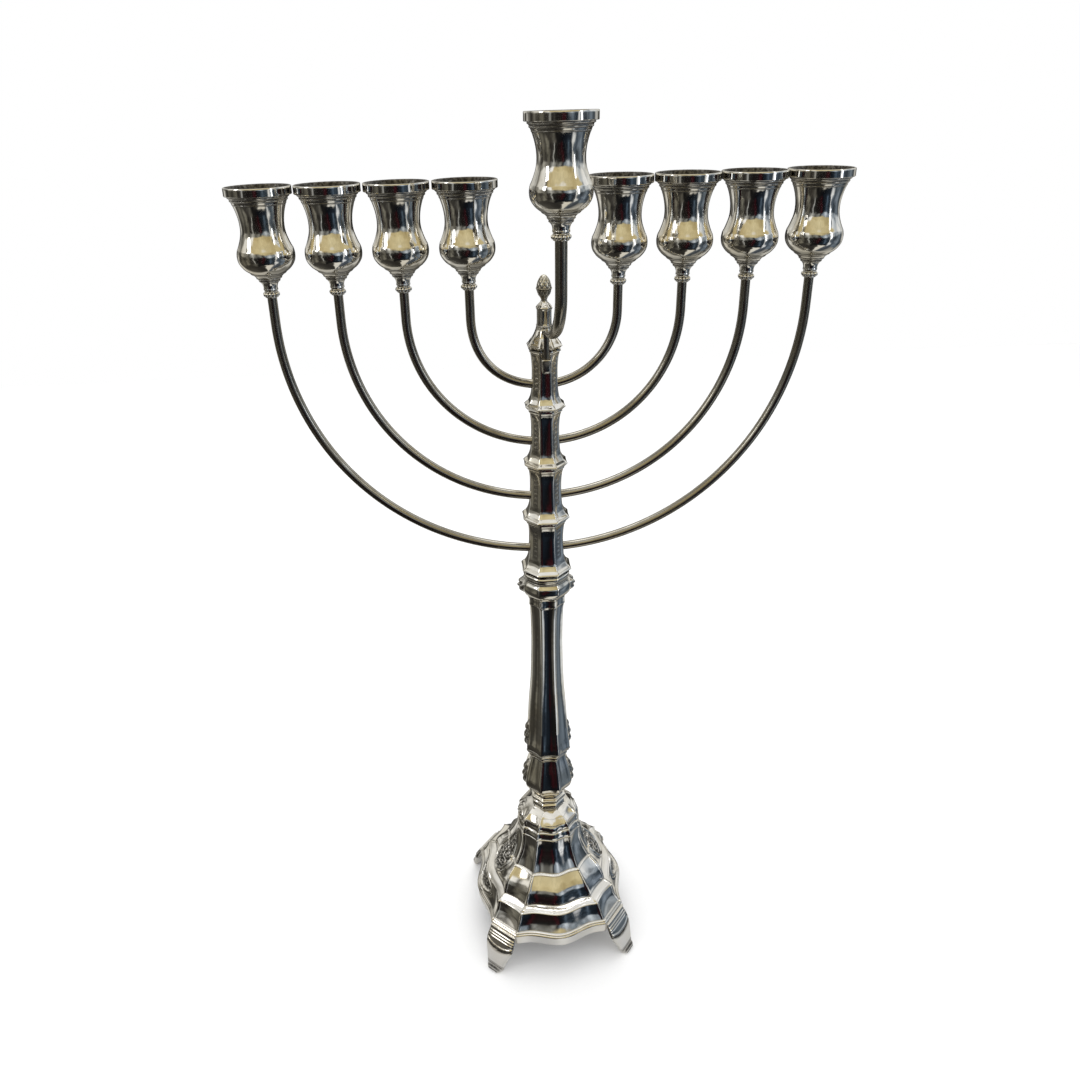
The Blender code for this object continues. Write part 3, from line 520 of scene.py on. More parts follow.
def points_mesh(name: str, points: np.ndarray, joined: bool) -> bpy.types.Mesh:
    """A mesh of loose points in millimetres, or of one line through them.

    Args:
        name: Name of the mesh.
        points: The points as (point, xyz).
        joined: Whether a line joins them.

    Returns:
        The mesh, in metres.
    """
    mesh = bpy.data.meshes.new(name)
    edges = [(i, i + 1) for i in range(len(points) - 1)] if joined else []
    mesh.from_pydata((np.asarray(points) * MM).tolist(), edges, [])
    return mesh


def tube_tree() -> tuple[bpy.types.NodeTree, dict[str, str]]:
    """A round tube that follows a line, with oxide where it is least handled.

    Returns:
        The tree and the identifier of each named input.
    """
    tree, ask, keys = geometry_tree("tube_on_line", {
        "Radius": ("NodeSocketFloat", 2.6 * MM), "Sides": ("NodeSocketInt", 28),
        "Finish": ("NodeSocketMaterial", None)})
    line = add(tree, "GeometryNodeMeshToCurve", {}, {0: ask.outputs["Geometry"]})
    section = add(tree, "GeometryNodeCurvePrimitiveCircle", {}, {
        "Resolution": ask.outputs["Sides"], "Radius": ask.outputs["Radius"]})
    tube = add(tree, "GeometryNodeCurveToMesh", {}, {
        "Curve": line.outputs[0], "Profile Curve": section.outputs[0], "Fill Caps": True})
    place = add(tree, "GeometryNodeInputPosition")
    noise = add(tree, "ShaderNodeTexNoise", {}, {
        "Vector": place.outputs[0], "Scale": per_mm(11.0), "Detail": 3.0})
    grime = add(tree, "ShaderNodeMapRange", {}, {
        "Value": noise.outputs[0], "From Min": 0.5, "From Max": 0.8, "To Min": 0.0, "To Max": 0.5})
    end_tree(tree, tube.outputs[0], ask.outputs["Finish"], grime.outputs[0])
    return tree, keys


def bead_tree() -> tuple[bpy.types.NodeTree, dict[str, str]]:
    """A ring of beads round each point of a mesh.

    Returns:
        The tree and the identifier of each named input.
    """
    tree, ask, keys = geometry_tree("beads_round_points", {
        "Ring Radius": ("NodeSocketFloat", 4.0 * MM), "Bead Size": ("NodeSocketVector", (MM, MM, MM)),
        "Count": ("NodeSocketInt", 16), "Grime": ("NodeSocketFloat", 0.0),
        "Finish": ("NodeSocketMaterial", None)})
    ring = add(tree, "GeometryNodeMeshCircle", {}, {
        "Vertices": ask.outputs["Count"], "Radius": ask.outputs["Ring Radius"]})
    bead = add(tree, "GeometryNodeMeshUVSphere", {}, {"Segments": 12, "Rings": 8, "Radius": 1.0})
    place = add(tree, "GeometryNodeInputPosition")
    facing = add(tree, "FunctionNodeAlignRotationToVector", {"axis": "X"}, {
        "Vector": place.outputs[0]})
    beads = add(tree, "GeometryNodeInstanceOnPoints", {}, {
        "Points": ring.outputs[0], "Instance": bead.outputs[0], "Rotation": facing.outputs[0],
        "Scale": ask.outputs["Bead Size"]})
    rings = add(tree, "GeometryNodeInstanceOnPoints", {}, {
        "Points": ask.outputs["Geometry"], "Instance": beads.outputs[0]})
    end_tree(tree, rings.outputs[0], ask.outputs["Finish"], ask.outputs["Grime"])
    return tree, keys


def thread_tree() -> tuple[bpy.types.NodeTree, dict[str, str]]:
    """A stack of round ridges over a point, as a screw thread seen from the side.

    Returns:
        The tree and the identifier of each named input.
    """
    tree, ask, keys = geometry_tree("thread_over_point", {
        "Radius": ("NodeSocketFloat", 3.0 * MM), "Ridge": ("NodeSocketFloat", 0.2 * MM),
        "Pitch": ("NodeSocketVector", (0.0, 0.0, 0.8 * MM)), "Count": ("NodeSocketInt", 10),
        "Finish": ("NodeSocketMaterial", None)})
    stack = add(tree, "GeometryNodeMeshLine", {"mode": "OFFSET"}, {
        "Count": ask.outputs["Count"], "Offset": ask.outputs["Pitch"]})
    hoop = add(tree, "GeometryNodeCurvePrimitiveCircle", {}, {
        "Resolution": 40, "Radius": ask.outputs["Radius"]})
    section = add(tree, "GeometryNodeCurvePrimitiveCircle", {}, {
        "Resolution": 6, "Radius": ask.outputs["Ridge"]})
    ridge = add(tree, "GeometryNodeCurveToMesh", {}, {
        "Curve": hoop.outputs[0], "Profile Curve": section.outputs[0]})
    ridges = add(tree, "GeometryNodeInstanceOnPoints", {}, {
        "Points": stack.outputs[0], "Instance": ridge.outputs[0]})
    threads = add(tree, "GeometryNodeInstanceOnPoints", {}, {
        "Points": ask.outputs["Geometry"], "Instance": ridges.outputs[0]})
    end_tree(tree, threads.outputs[0], ask.outputs["Finish"], 0.25)
    return tree, keys


# ==== arms, ferrules and cups =====================================================================
@dataclass(frozen=True)
class TulipCup:
    """A turned cup with a plain band at its rim, a waist, a bulb and a stepped cone to its foot."""

    height: float = 54.2
    rim: float = 17.6
    wall: float = 1.3
    band: float = 4.4
    floor: float = 11.0
    floor_radius: float = 9.0
    foot_wall: float = 1.3
    under_band: float = 15.9
    sides: int = 80

    def outside(self, tube: float) -> Outline:
        """The outside of a cup on a tube of the given radius.

        Args:
            tube: Radius of the tube.

        Returns:
            The outline, from the foot up.
        """
        foot = tube + self.foot_wall
        band_foot = self.height - self.band
        body = smooth([(foot + 0.05, 0.5), (foot - 0.1, 1.8), (foot + 0.4, 3.6), (foot + 1.4, 5.0),
                       (7.2, 7.6), (9.4, 9.5), (12.2, 11.6), (14.2, 14.1), (15.1, 16.2), (15.4, 18.4),
                       (15.3, 20.2), (14.95, 21.9)], steps=4)
        throat = smooth([(14.88, 22.15), (13.9, 24.2), (12.85, 27.0), (12.0, 30.0), (11.65, 33.2),
                         (11.8, 37.0), (12.5, 40.9), (13.7, 44.8), (15.1, 48.0), (15.85, 49.3)], steps=4)
        band = [(self.under_band, band_foot - 0.12), (self.rim - 0.25, band_foot),
                (self.rim, band_foot + 0.25), (self.rim, self.height - 0.35),
                (self.rim - 0.12, self.height - 0.1), (self.rim - 0.4, self.height)]
        curve = np.array([(foot - 0.2, 0.0), *body, *throat, *band])
        rings = (Moulding(5.1, 0.4, 0.32), Moulding(6.7, 0.4, 0.34),
                 Moulding(9.2, 0.45, 0.34), Moulding(45.5, 0.28, 0.16),
                 Moulding(47.4, 0.42, 0.34), Moulding(49.0, 0.42, 0.4))
        return Outline(curve, rings, 1.0)

    def inside(self) -> np.ndarray:
        """The inside, from the rim down to the middle of the floor.

        Returns:
            Its (radius, height) points.
        """
        wall = smooth([(self.rim - self.wall, self.height - 0.3), (15.5, 51.0), (13.8, 47.6),
                       (11.4, 41.4), (10.3, 33.2), (11.6, 26.4), (13.5, 22.2), (14.0, 18.4),
                       (13.0, 14.4), (self.floor_radius + 1.0, self.floor + 0.4),
                       (self.floor_radius, self.floor)], steps=3)
        return np.array([(self.rim - self.wall + 0.3, self.height), *wall,
                         (self.floor_radius * 0.5, self.floor), (0.0, self.floor)])

    def mesh(self, name: str, tube: float, seat: tuple[float, float, float]) -> bpy.types.Mesh:
        """One cup on its seat.

        Args:
            name: Name of the mesh.
            tube: Radius of the tube under it.
            seat: The middle of its foot, in millimetres.

        Returns:
            The mesh.
        """
        outside = self.outside(tube)
        heights = outside.heights()
        curve = np.stack([outside.radii(heights), heights], axis=1)
        inside = self.inside()
        profile = np.vstack([[(0.0, 0.0)], curve, inside])
        depth = np.clip((self.height - inside[:, 1]) / self.height, 0, 1)
        grime = np.concatenate([[0.0], outside.grime(heights), np.minimum(0.9 + 8 * depth, 0.98)])
        return skin(name, lathe(profile, self.sides, seat), grime[:, None], Ends.CLOSED)


@dataclass(frozen=True)
class Ferrule:
    """The collar round the top of a tube, with a ring of beads between two fillets."""

    height: float = 3.6
    wall: float = 0.6
    gap: float = 0.3              # round the tube and under the cup, where the solder is
    bead: float = 0.95
    bead_count: int = 12
    sides: int = 48

    def mesh(self, name: str, tube: float, seat: tuple[float, float, float]) -> bpy.types.Mesh:
        """The collar itself, with its top just under the seat of its cup.

        Args:
            name: Name of the mesh.
            tube: Radius of the tube in it.
            seat: The middle of its cup's foot, in millimetres.

        Returns:
            The mesh.
        """
        outer, hole, top = tube + self.gap + self.wall, tube + 0.05, -self.gap
        foot = top - self.height
        profile = np.array([
            (hole, foot), (outer - 0.3, foot), (outer, foot + 0.15), (outer + 0.08, foot + 0.4),
            (outer, foot + 0.65), (outer - 0.05, foot + 0.8), (outer - 0.05, top - 0.8), (outer, top - 0.65),
            (outer + 0.15, top - 0.4), (outer + 0.08, top - 0.15), (outer - 0.2, top), (hole, top)])
        grime = np.array([0.2, 0.2, 0, 0, 0.5, 0.9, 0.9, 0.5, 0, 0, 0.2, 0.2])
        return skin(name, lathe(profile, self.sides, seat), grime[:, None], Ends.WRAP, 60.0)

    def beads(self, name: str, tube: float, seats: list[tuple[float, float, float]],
              finish: bpy.types.Material) -> bpy.types.Mesh:
        """The beads of all the ferrules whose cups have these seats.

        Args:
            name: Name of the mesh.
            tube: Radius of the tubes.
            seats: The middles of the cups' feet, in millimetres.
            finish: Material of the beads.

        Returns:
            One mesh of all the beads.
        """
        tree, keys = bead_tree()
        middle = np.array([(x, y, z - self.gap - self.height / 2) for x, y, z in seats])
        size = self.bead * MM
        return grow(points_mesh(name, middle, False), tree, keys, {
            "Ring Radius": (tube + self.gap + self.wall + 0.15) * MM, "Grime": 0.0,
            "Bead Size": (size, size, 1.25 * size), "Count": self.bead_count, "Finish": finish})


@dataclass(frozen=True)
class Arms:
    """The eight curved arms with their ferrules and cups."""

    first_radius: float = 41.8
    pitch: float = 36.3
    tube: float = 2.6
    seat_over_centre: float = 18.6
    tube_in_cup: float = 4.7
    root_x: float = 3.6
    flattening: tuple[float, ...] = (0.0, 0.5, 0.7, 0.5)
    left_first_squareness: float = 0.12
    bend_steps: int = 56
    tube_sides: int = 28
    cup: TulipCup = TulipCup()
    ferrule: Ferrule = Ferrule()

    def line(self, pair: int, side: int, centre_height: float) -> np.ndarray:
        """Centre line of one arm, from its root in the column up into its cup.

        Args:
            pair: Number of its pair, from 1 inside to 4 outside.
            side: -1 on the left and 1 on the right.
            centre_height: Height of the centre that all the arms turn round.

        Returns:
            Its points, in millimetres.
        """
        radius = self.first_radius + (pair - 1) * self.pitch
        depth = radius - self.flattening[pair - 1]
        power = 1 - self.left_first_squareness if (pair, side) == (1, -1) else 1.0
        start = math.asin((self.root_x / radius) ** (1 / power))
        angles = np.linspace(start, math.pi / 2, self.bend_steps)
        x = side * radius * np.sin(angles) ** power
        z = centre_height - depth * np.clip(np.cos(angles), 0, 1) ** power
        top = centre_height + self.seat_over_centre + self.tube_in_cup
        rise = np.linspace(centre_height, top, 8)[1:]
        bend = np.stack([x, 0 * x, z], axis=1)
        straight = np.stack([0 * rise + side * radius, 0 * rise, rise], axis=1)
        return np.vstack([bend, straight])

    def build(self, plate: bpy.types.Material, tube_finish: bpy.types.Material) -> None:
        """Build and dress the arms, ferrules and cups.

        Args:
            plate: Finish of the ferrules and cups.
            tube_finish: Finish of the arms.
        """
        tree, keys = tube_tree()
        seats = []
        centre = seat_of("cup_left_1")[2] - self.seat_over_centre
        for side, word in ((-1, "left"), (1, "right")):
            for pair in range(1, 5):
                tag = f"{word}_{pair}"
                line = points_mesh(f"tube_{tag}", self.line(pair, side, centre), True)
                tube = grow(line, tree, keys, {
                    "Radius": self.tube * MM, "Sides": self.tube_sides, "Finish": tube_finish})
                dress(tube, f"tube_{tag}", tube_finish, Body.STAND, Slot.TUBE, f"arm_{tag}")
                seat = seat_of(f"cup_{tag}")
                seats.append(seat)
                dress(self.cup.mesh(f"tulip_{tag}", self.tube, seat), f"tulip_{tag}", plate, Body.STAND,
                      Slot.POLISHED, f"cup_{tag}")
                dress(self.ferrule.mesh(f"collar_{tag}", self.tube, seat), f"collar_{tag}", plate,
                      Body.STAND, Slot.POLISHED, f"ferrule_{tag}")
        beads = self.ferrule.beads("collar_beads", self.tube, seats, plate)
        dress(beads, "collar_beads", plate, Body.STAND, Slot.POLISHED)


# ==== column ======================================================================================
@dataclass(frozen=True)
class Rosette:
    """A small cast flower that stands out of a facet."""

    facet: Facet
    height: float
    half_height: float
    half_width: float
    out: float
    petals: int = 5

    def relief(self, across: np.ndarray, heights: np.ndarray) -> tuple[np.ndarray, np.ndarray]:
        """How far it stands out, and its oxide, at distances from the facet's middle and heights.

        Args:
            across: Distances from the middle of the facet.
            heights: Heights over the casting's foot.

        Returns:
            How far it stands out, and its oxide.
        """
        a, b = across / self.half_width, (heights - self.height) / self.half_height
        reach, turn = np.hypot(a, b), np.arctan2(b, a)
        lobes = 0.5 + 0.5 * np.cos(self.petals * turn)
        inside = np.clip(1 - reach ** 2, 0, 1)
        leaf = np.clip(1 - ((reach - 0.62) / 0.36) ** 2, 0, 1) * lobes
        boss = np.clip(1 - (reach / 0.3) ** 2, 0, 1)
        out = self.out * (0.5 * np.sqrt(inside) + 0.38 * leaf + 0.5 * boss)
        grime = 0.85 * np.clip(inside * 3, 0, 1) * (1 - np.clip(leaf + boss, 0, 1))
        return out, grime


@dataclass(frozen=True)
class OctagonCasting:
    """An eight-sided casting of the column, standing on its CAD node's foot."""

    node: str
    piece: str
    curve: tuple[tuple[float, float], ...]
    mouldings: tuple[Moulding, ...] = ()
    rosettes: tuple[Rosette, ...] = ()
    hollow: float = 0.0               # how far the middle of a facet is drawn in; less than 0 swells
    stud_heights: tuple[float, ...] = ()
    stud_out: float = 0.17
    steps: int = 5
    round_corner: float = 0.35
    bore: float = 3.4

    def outline(self) -> Outline:
        """Its outline from the foot up."""
        curve = smooth(list(self.curve), self.steps) if self.steps > 1 else np.array(self.curve)
        return Outline(curve, self.mouldings, 0.9)

    def heights(self, outline: Outline) -> np.ndarray:
        """The heights of its rings, closer together where there is ornament.

        Args:
            outline: Its outline.

        Returns:
            The heights, lowest first.
        """
        extra: list[float] = []
        for rosette in self.rosettes:
            extra += list(np.arange(rosette.height - rosette.half_height,
                                    rosette.height + rosette.half_height, 0.3))
        for stud in self.stud_heights:
            extra += [stud + step for step in (-1.2, -0.9, -0.6, -0.3, 0, 0.3, 0.6, 0.9, 1.2)]
        return outline.heights(tuple(extra))

    def studs(self, across: np.ndarray, heights: np.ndarray) -> np.ndarray:
        """Small cast lozenges down the middle of a slanting facet.

        Args:
            across: Distances from the middle of the facet.
            heights: Heights over the casting's foot.

        Returns:
            How far they stand out.
        """
        out = np.zeros(np.broadcast(across, heights).shape)
        for stud in self.stud_heights:
            reach = np.hypot(across / 1.1, (heights - stud) / 0.55)
            out += self.stud_out * np.clip(2.2 - reach * 1.6, 0, 1)
        return out

    def build(self, finish: bpy.types.Material, slot: Slot = Slot.POLISHED) -> None:
        """Build and dress the casting.

        Args:
            finish: Its material.
            slot: The record's slot for it.
        """
        outline = self.outline()
        heights = self.heights(outline)
        inner = outline.radii(heights)[:, None]
        z = heights[:, None]
        base_grime = outline.grime(heights)[:, None]
        columns, grimes = [], []
        for number in range(8):
            angle = number * math.pi / 4
            flowers = [r for r in self.rosettes if r.facet.value == number]
            studded = bool(self.stud_heights) and number % 2 == 1
            share = np.linspace(-1, 1, 23 if flowers else 15 if studded else 7)
            across = share * (inner * math.tan(EIGHTH) - self.round_corner)
            out = inner - self.hollow * (1 - share ** 2)
            grime = base_grime + 0 * across
            for flower in flowers:
                relief, dirt = flower.relief(across, z)
                out, grime = out + relief, np.maximum(grime, dirt)
            if studded:
                relief = self.studs(across, z)
                first, last = min(self.stud_heights), max(self.stud_heights)
                near = (np.abs(across) < 2.0) & (z > first - 2) & (z < last + 2)
                out = out + relief
                grime = np.maximum(grime, np.where(near, 0.45 * (1 - relief / self.stud_out), 0))
            corner = inner / math.cos(EIGHTH) - 0.42 * self.round_corner
            columns.append(spun(np.stack([out, across, z + 0 * across], axis=-1), angle))
            columns.append(spun(np.stack([corner, 0 * corner, z], axis=-1), angle + EIGHTH))
            grimes += [grime, base_grime]
        rings = np.concatenate(columns, axis=1)
        grime = np.concatenate(grimes, axis=1)
        middle = rings[0, :, :2] / np.linalg.norm(rings[0, :, :2], axis=1)[:, None] * self.bore
        inner_rings = [np.column_stack([middle, np.full(len(middle), level)])
                       for level in (heights[-1], heights[0])]
        rings = np.concatenate([rings, np.array(inner_rings)])
        grime = np.concatenate([grime, np.full((2, grime.shape[1]), 0.5)])
        rings = rings + np.array((0, 0, place_of(self.node)[0][2]))
        mesh = skin(self.piece, rings, grime, Ends.WRAP, 42.0)
        dress(mesh, self.piece, finish, Body.STAND, slot, self.node)


@dataclass(frozen=True)
class Column:
    """All that stands on the base, up to the finial."""

    flanges: tuple[float, ...] = (15.6, 14.4, 13.1, 11.9)
    waists: tuple[float, ...] = (10.5, 9.4, 8.2, 7.3)
    segment_height: float = 36.0
    rosette_out: float = 3.4
    finial_scales: int = 8
    scale_depth: float = 0.5
    screw_length: float = 5.0
    screw_radius: float = 1.1
    bud_sides: int = 64

    def segment(self, number: int) -> OctagonCasting:
        """One waisted segment; number 1 is the lowest.

        Args:
            number: Its number.

        Returns:
            The casting.
        """
        flange, waist = self.flanges[number - 1], self.waists[number - 1]
        flare = flange - 2.2 - waist
        top = self.segment_height
        body = smooth([(flange - 2.3, 4.1), (waist + 0.42 * flare, 7.5), (waist + 0.12 * flare, 12.9),
                       (waist, 24.0), (waist + 0.45, 31.0), (waist + 1.2, 34.5)], steps=5)
        foot = [(flange - 1.5, 0.0), (flange - 0.5, 1.15), (flange - 0.06, 1.5), (flange, 1.7),
                (flange - 0.1, 1.95), (flange - 1.0, 2.9), (flange - 2.05, 3.75), (flange - 2.2, 3.92)]
        lip = [(waist + 1.75, 34.9), (waist + 1.85, 35.2), (waist + 1.75, 35.5), (waist + 1.7, top)]
        return OctagonCasting(
            f"spine_segment_{number}", f"waisted_segment_{number}",
            tuple(map(tuple, (*foot, *body, *lip))), mouldings=(Moulding(33.4, 0.3, 0.14),),
            hollow=0.22, stud_heights=(13.0, 16.0, 19.0, 22.0, 25.0, 28.0), steps=1)

    def flowers(self, height: float, half_height: float, half_width: float) -> tuple[Rosette, ...]:
        """A rosette on the left facet and one on the right."""
        return tuple(Rosette(facet, height, half_height, half_width, self.rosette_out)
                     for facet in (Facet.LEFT, Facet.RIGHT))

    def castings(self) -> list[OctagonCasting]:
        """The castings from the neck ring up to the top piece.

        Returns:
            The castings, lowest first, without the segments.
        """
        neck = OctagonCasting("base_neck_ring", "neck_ring", (
            (10.8, 0.0), (11.2, 0.5), (11.3, 2.8), (11.1, 4.0), (10.2, 5.0), (10.4, 5.8), (11.7, 6.7),
            (12.0, 7.4), (12.0, 8.7), (11.6, 9.2), (10.4, 9.8), (10.2, 10.6)),
            mouldings=(Moulding(1.2, 0.4, 0.3), Moulding(8.0, 0.3, 0.15)), hollow=0.15, steps=3)
        knop = OctagonCasting("lower_knop", "lower_knop_casting", (
            (10.2, 0.0), (10.8, 1.4), (12.0, 3.2), (13.9, 5.6), (15.6, 8.4), (16.4, 11.0), (16.5, 13.4),
            (15.9, 18.0), (14.5, 25.0), (12.9, 31.0), (12.2, 34.4), (12.3, 36.0), (13.3, 37.2),
            (13.3, 38.4), (13.0, 39.0)),
            mouldings=(Moulding(2.2, 0.4, 0.25), Moulding(35.4, 0.35, 0.3)),
            rosettes=self.flowers(17.0, 10.5, 5.6), hollow=0.7, steps=3,
            round_corner=0.5)
        shaft = OctagonCasting("fluted_shaft", "hollow_fluted_shaft", (
            (13.2, 0.0), (14.4, 0.7), (15.1, 2.0), (15.2, 4.5), (15.0, 8.0), (14.4, 12.0), (13.8, 18.0),
            (13.4, 24.0), (12.5, 39.5), (11.1, 58.0), (10.4, 76.4), (10.1, 93.8), (10.4, 111.0),
            (10.8, 119.0), (11.1, 121.6), (11.7, 122.4), (11.6, 124.0), (11.6, 127.0), (11.3, 128.0)),
            mouldings=(Moulding(3.0, 0.5, 0.3),),
            rosettes=self.flowers(13.5, 10.5, 5.0), hollow=0.95, steps=4,
            round_corner=0.55, bore=7.0)
        collar = OctagonCasting("shaft_collar", "shaft_collar_casting", (
            (11.6, 0.0), (12.2, 0.8), (13.6, 2.2), (14.8, 4.4), (15.1, 7.0), (14.8, 9.4), (13.9, 11.2),
            (13.4, 12.4), (13.5, 14.2), (14.2, 15.4), (14.2, 16.6), (13.7, 17.4), (14.0, 18.2)),
            mouldings=(Moulding(12.6, 0.4, 0.3),),
            rosettes=self.flowers(7.0, 5.6, 5.2), hollow=-0.5, steps=4)
        top = OctagonCasting("spine_top", "column_top_casting", (
            (8.5, 0.0), (9.5, 1.15), (9.94, 1.5), (10.0, 1.7), (9.9, 1.95), (9.1, 2.9), (7.7, 5.0),
            (6.3, 7.0), (5.3, 9.4), (4.6, 11.6), (4.15, 14.5), (4.1, 18.0), (4.1, 21.4), (4.3, 22.2),
            (4.55, 22.8), (4.45, 23.5), (3.8, 24.4), (3.0, 25.3), (2.2, 26.2), (2.0, 26.7)),
            mouldings=(Moulding(12.9, 0.3, 0.25),),
            rosettes=(Rosette(Facet.FRONT, 11.0, 2.7, 2.3, 0.9, 4),), hollow=0.1, steps=3,
            round_corner=0.3, bore=1.0)
        return [neck, knop, shaft, collar, top]

    def finial(self, finish: bpy.types.Material) -> None:
        """The bud at the top, with a girdle and crossing rows of scales.

        Args:
            finish: Its material.
        """
        low, _ = place_of("finial")
        foot = low[2] + self.screw_length
        bud = smooth([(1.7, 0.6), (2.3, 2.0), (3.5, 3.6), (4.15, 5.6), (4.3, 7.2), (4.1, 8.8),
                      (3.5, 10.8), (2.3, 13.0), (1.0, 14.2)], steps=4)
        outline = Outline(np.array([(1.7, 0.0), *bud]), (Moulding(6.9, 0.45, 0.28),), 0.4)
        heights = outline.heights()
        screw = [(0.0, -self.screw_length), (self.screw_radius, -self.screw_length),
                 (self.screw_radius, -0.1)]
        profile = np.vstack([screw, np.stack([outline.radii(heights), heights], axis=1), [(0.0, 14.4)]])
        angles = np.arange(self.bud_sides) * 2 * math.pi / self.bud_sides
        rings = lathe(profile, self.bud_sides, (0, 0, foot))
        z = profile[:, 1:2]
        shown = np.clip((z - 1.6) / 0.8, 0, 1) * np.clip(np.abs(z - 6.9) / 0.8, 0, 1)
        along, across = z / 4.6, (self.finial_scales / 2 * angles / math.pi)[None, :]
        scales = np.abs(np.sin(math.pi * (along + across)) * np.sin(math.pi * (along - across)))
        dip = self.scale_depth * shown * (1 - np.minimum(1.0, 2.0 * scales) ** 0.6)
        away = rings[..., :2] / np.maximum(np.linalg.norm(rings[..., :2], axis=-1, keepdims=True), 1e-6)
        rings[..., :2] -= away * dip[..., None]
        grime = np.clip(outline.grime(z) + 1.7 * dip + 0.15 * (z < 6.5), 0, 0.9)
        mesh = skin("bud_finial", rings, grime, Ends.CLOSED, 50.0)
        dress(mesh, "bud_finial", finish, Body.STAND, Slot.ANTIQUE, "finial")

    def build(self, plate: bpy.types.Material, antique: bpy.types.Material) -> None:
        """Build and dress the column.

        Args:
            plate: Finish of the castings.
            antique: Finish of the finial.
        """
        for casting in [*self.castings(), *(self.segment(n) for n in range(1, 5))]:
            casting.build(plate)
        self.finial(antique)


# ==== base ========================================================================================
@dataclass(frozen=True)
class Tier:
    """A level line round the base: its height and its distances from the axis."""

    height: float
    mid: float                # to the middle of a bowed side
    side: float               # to the ends of a side
    half: float               # from the middle of a side to its ends

    def array(self) -> np.ndarray:
        """The four sizes as an array."""
        return np.array((self.height, self.mid, self.side, self.half))


@dataclass(frozen=True)
class Course:
    """A moulding of the base between two tiers: straight, swelling or hollow."""

    low: Tier
    high: Tier
    steps: int
    bulge: float = 0.0

    def shares(self) -> np.ndarray:
        """Where its tiers lie from the lowest, 0, to the highest, 1, with more of them at both ends."""
        return np.unique(np.concatenate([np.linspace(0, 1, self.steps), (0.015, 0.04, 0.96, 0.985)]))

    def tiers(self) -> np.ndarray:
        """Its tiers as (tier, size), lowest first."""
        share = self.shares()[:, None]
        out = self.bulge * np.sin(math.pi * share)
        low, high = self.low.array(), self.high.array()
        return low + (high - low) * share + out * np.array((0, 1, 1, math.sqrt(2) - 1))

    def grime(self) -> np.ndarray:
        """Oxide along the course, in its two corners."""
        share = self.shares()
        return 0.35 * np.exp(-share / 0.03) + 0.15 * np.exp(-(1 - share) / 0.03)


@dataclass(frozen=True)
class Cartouche:
    """A bordered panel of scrolls on an oxidised ground, on the left and right of the base.

    Places are (along the side, up the profile) in millimetres.
    """

    middle: float
    half_height: float
    low_half_width: float
    high_half_width: float
    scrolls: tuple[tuple[float, float], ...]
    scroll_pitch: float = 2.5
    border: float = 0.95

    def relief(self, along: np.ndarray, up: np.ndarray) -> tuple[np.ndarray, np.ndarray]:
        """How far the surface stands out, and its oxide, at places on a side.

        Args:
            along: Places along the side, from its middle.
            up: Places up the profile, from its foot.

        Returns:
            How far it stands out, and its oxide from 0 to 1.
        """
        b = (up - self.middle) / self.half_height
        share = np.clip(0.5 + 0.5 * b, 0, 1)
        share = share * share * (3 - 2 * share)
        width = self.low_half_width + (self.high_half_width - self.low_half_width) * share
        a = along / width
        q = np.maximum(np.hypot(a, b), 1e-6)
        away = (q - 1) * q / np.sqrt((a / width) ** 2 + (b / self.half_height) ** 2 + 1e-9)
        inside = 1 / (1 + np.exp((away + 1.3) / 0.22))
        rim = np.exp(-(away / 0.75) ** 2) + 0.5 * np.exp(-((away - 2.0) / 0.5) ** 2)
        vine = self.vine(along, up)
        out = self.border * rim + inside * (0.6 * vine - 0.75)
        grime = inside * (0.95 - 0.75 * vine) + 0.45 * np.exp(-((away - 1.15) / 0.3) ** 2)
        return out, np.clip(grime, 0, 1)

    def vine(self, along: np.ndarray, up: np.ndarray) -> np.ndarray:
        """Height, 0 to 1, of the mirrored spirals that fill the panel.

        Args:
            along: Places along the side, from its middle.
            up: Places up the profile, from its foot.

        Returns:
            The height at each place.
        """
        best = np.full(along.shape, 1e9)
        vine = np.zeros(along.shape)
        for x, y in self.scrolls:
            for mirror in ((1,) if x == 0 else (1, -1)):
                dx, dy = along - mirror * x, up - self.middle - y
                reach = np.hypot(dx, dy)
                wave = np.cos(2 * math.pi * reach / self.scroll_pitch - mirror * np.arctan2(dy, dx))
                near = reach < best
                best = np.where(near, reach, best)
                vine = np.where(near, np.clip(wave, 0, 1) ** 0.8, vine)
        return vine


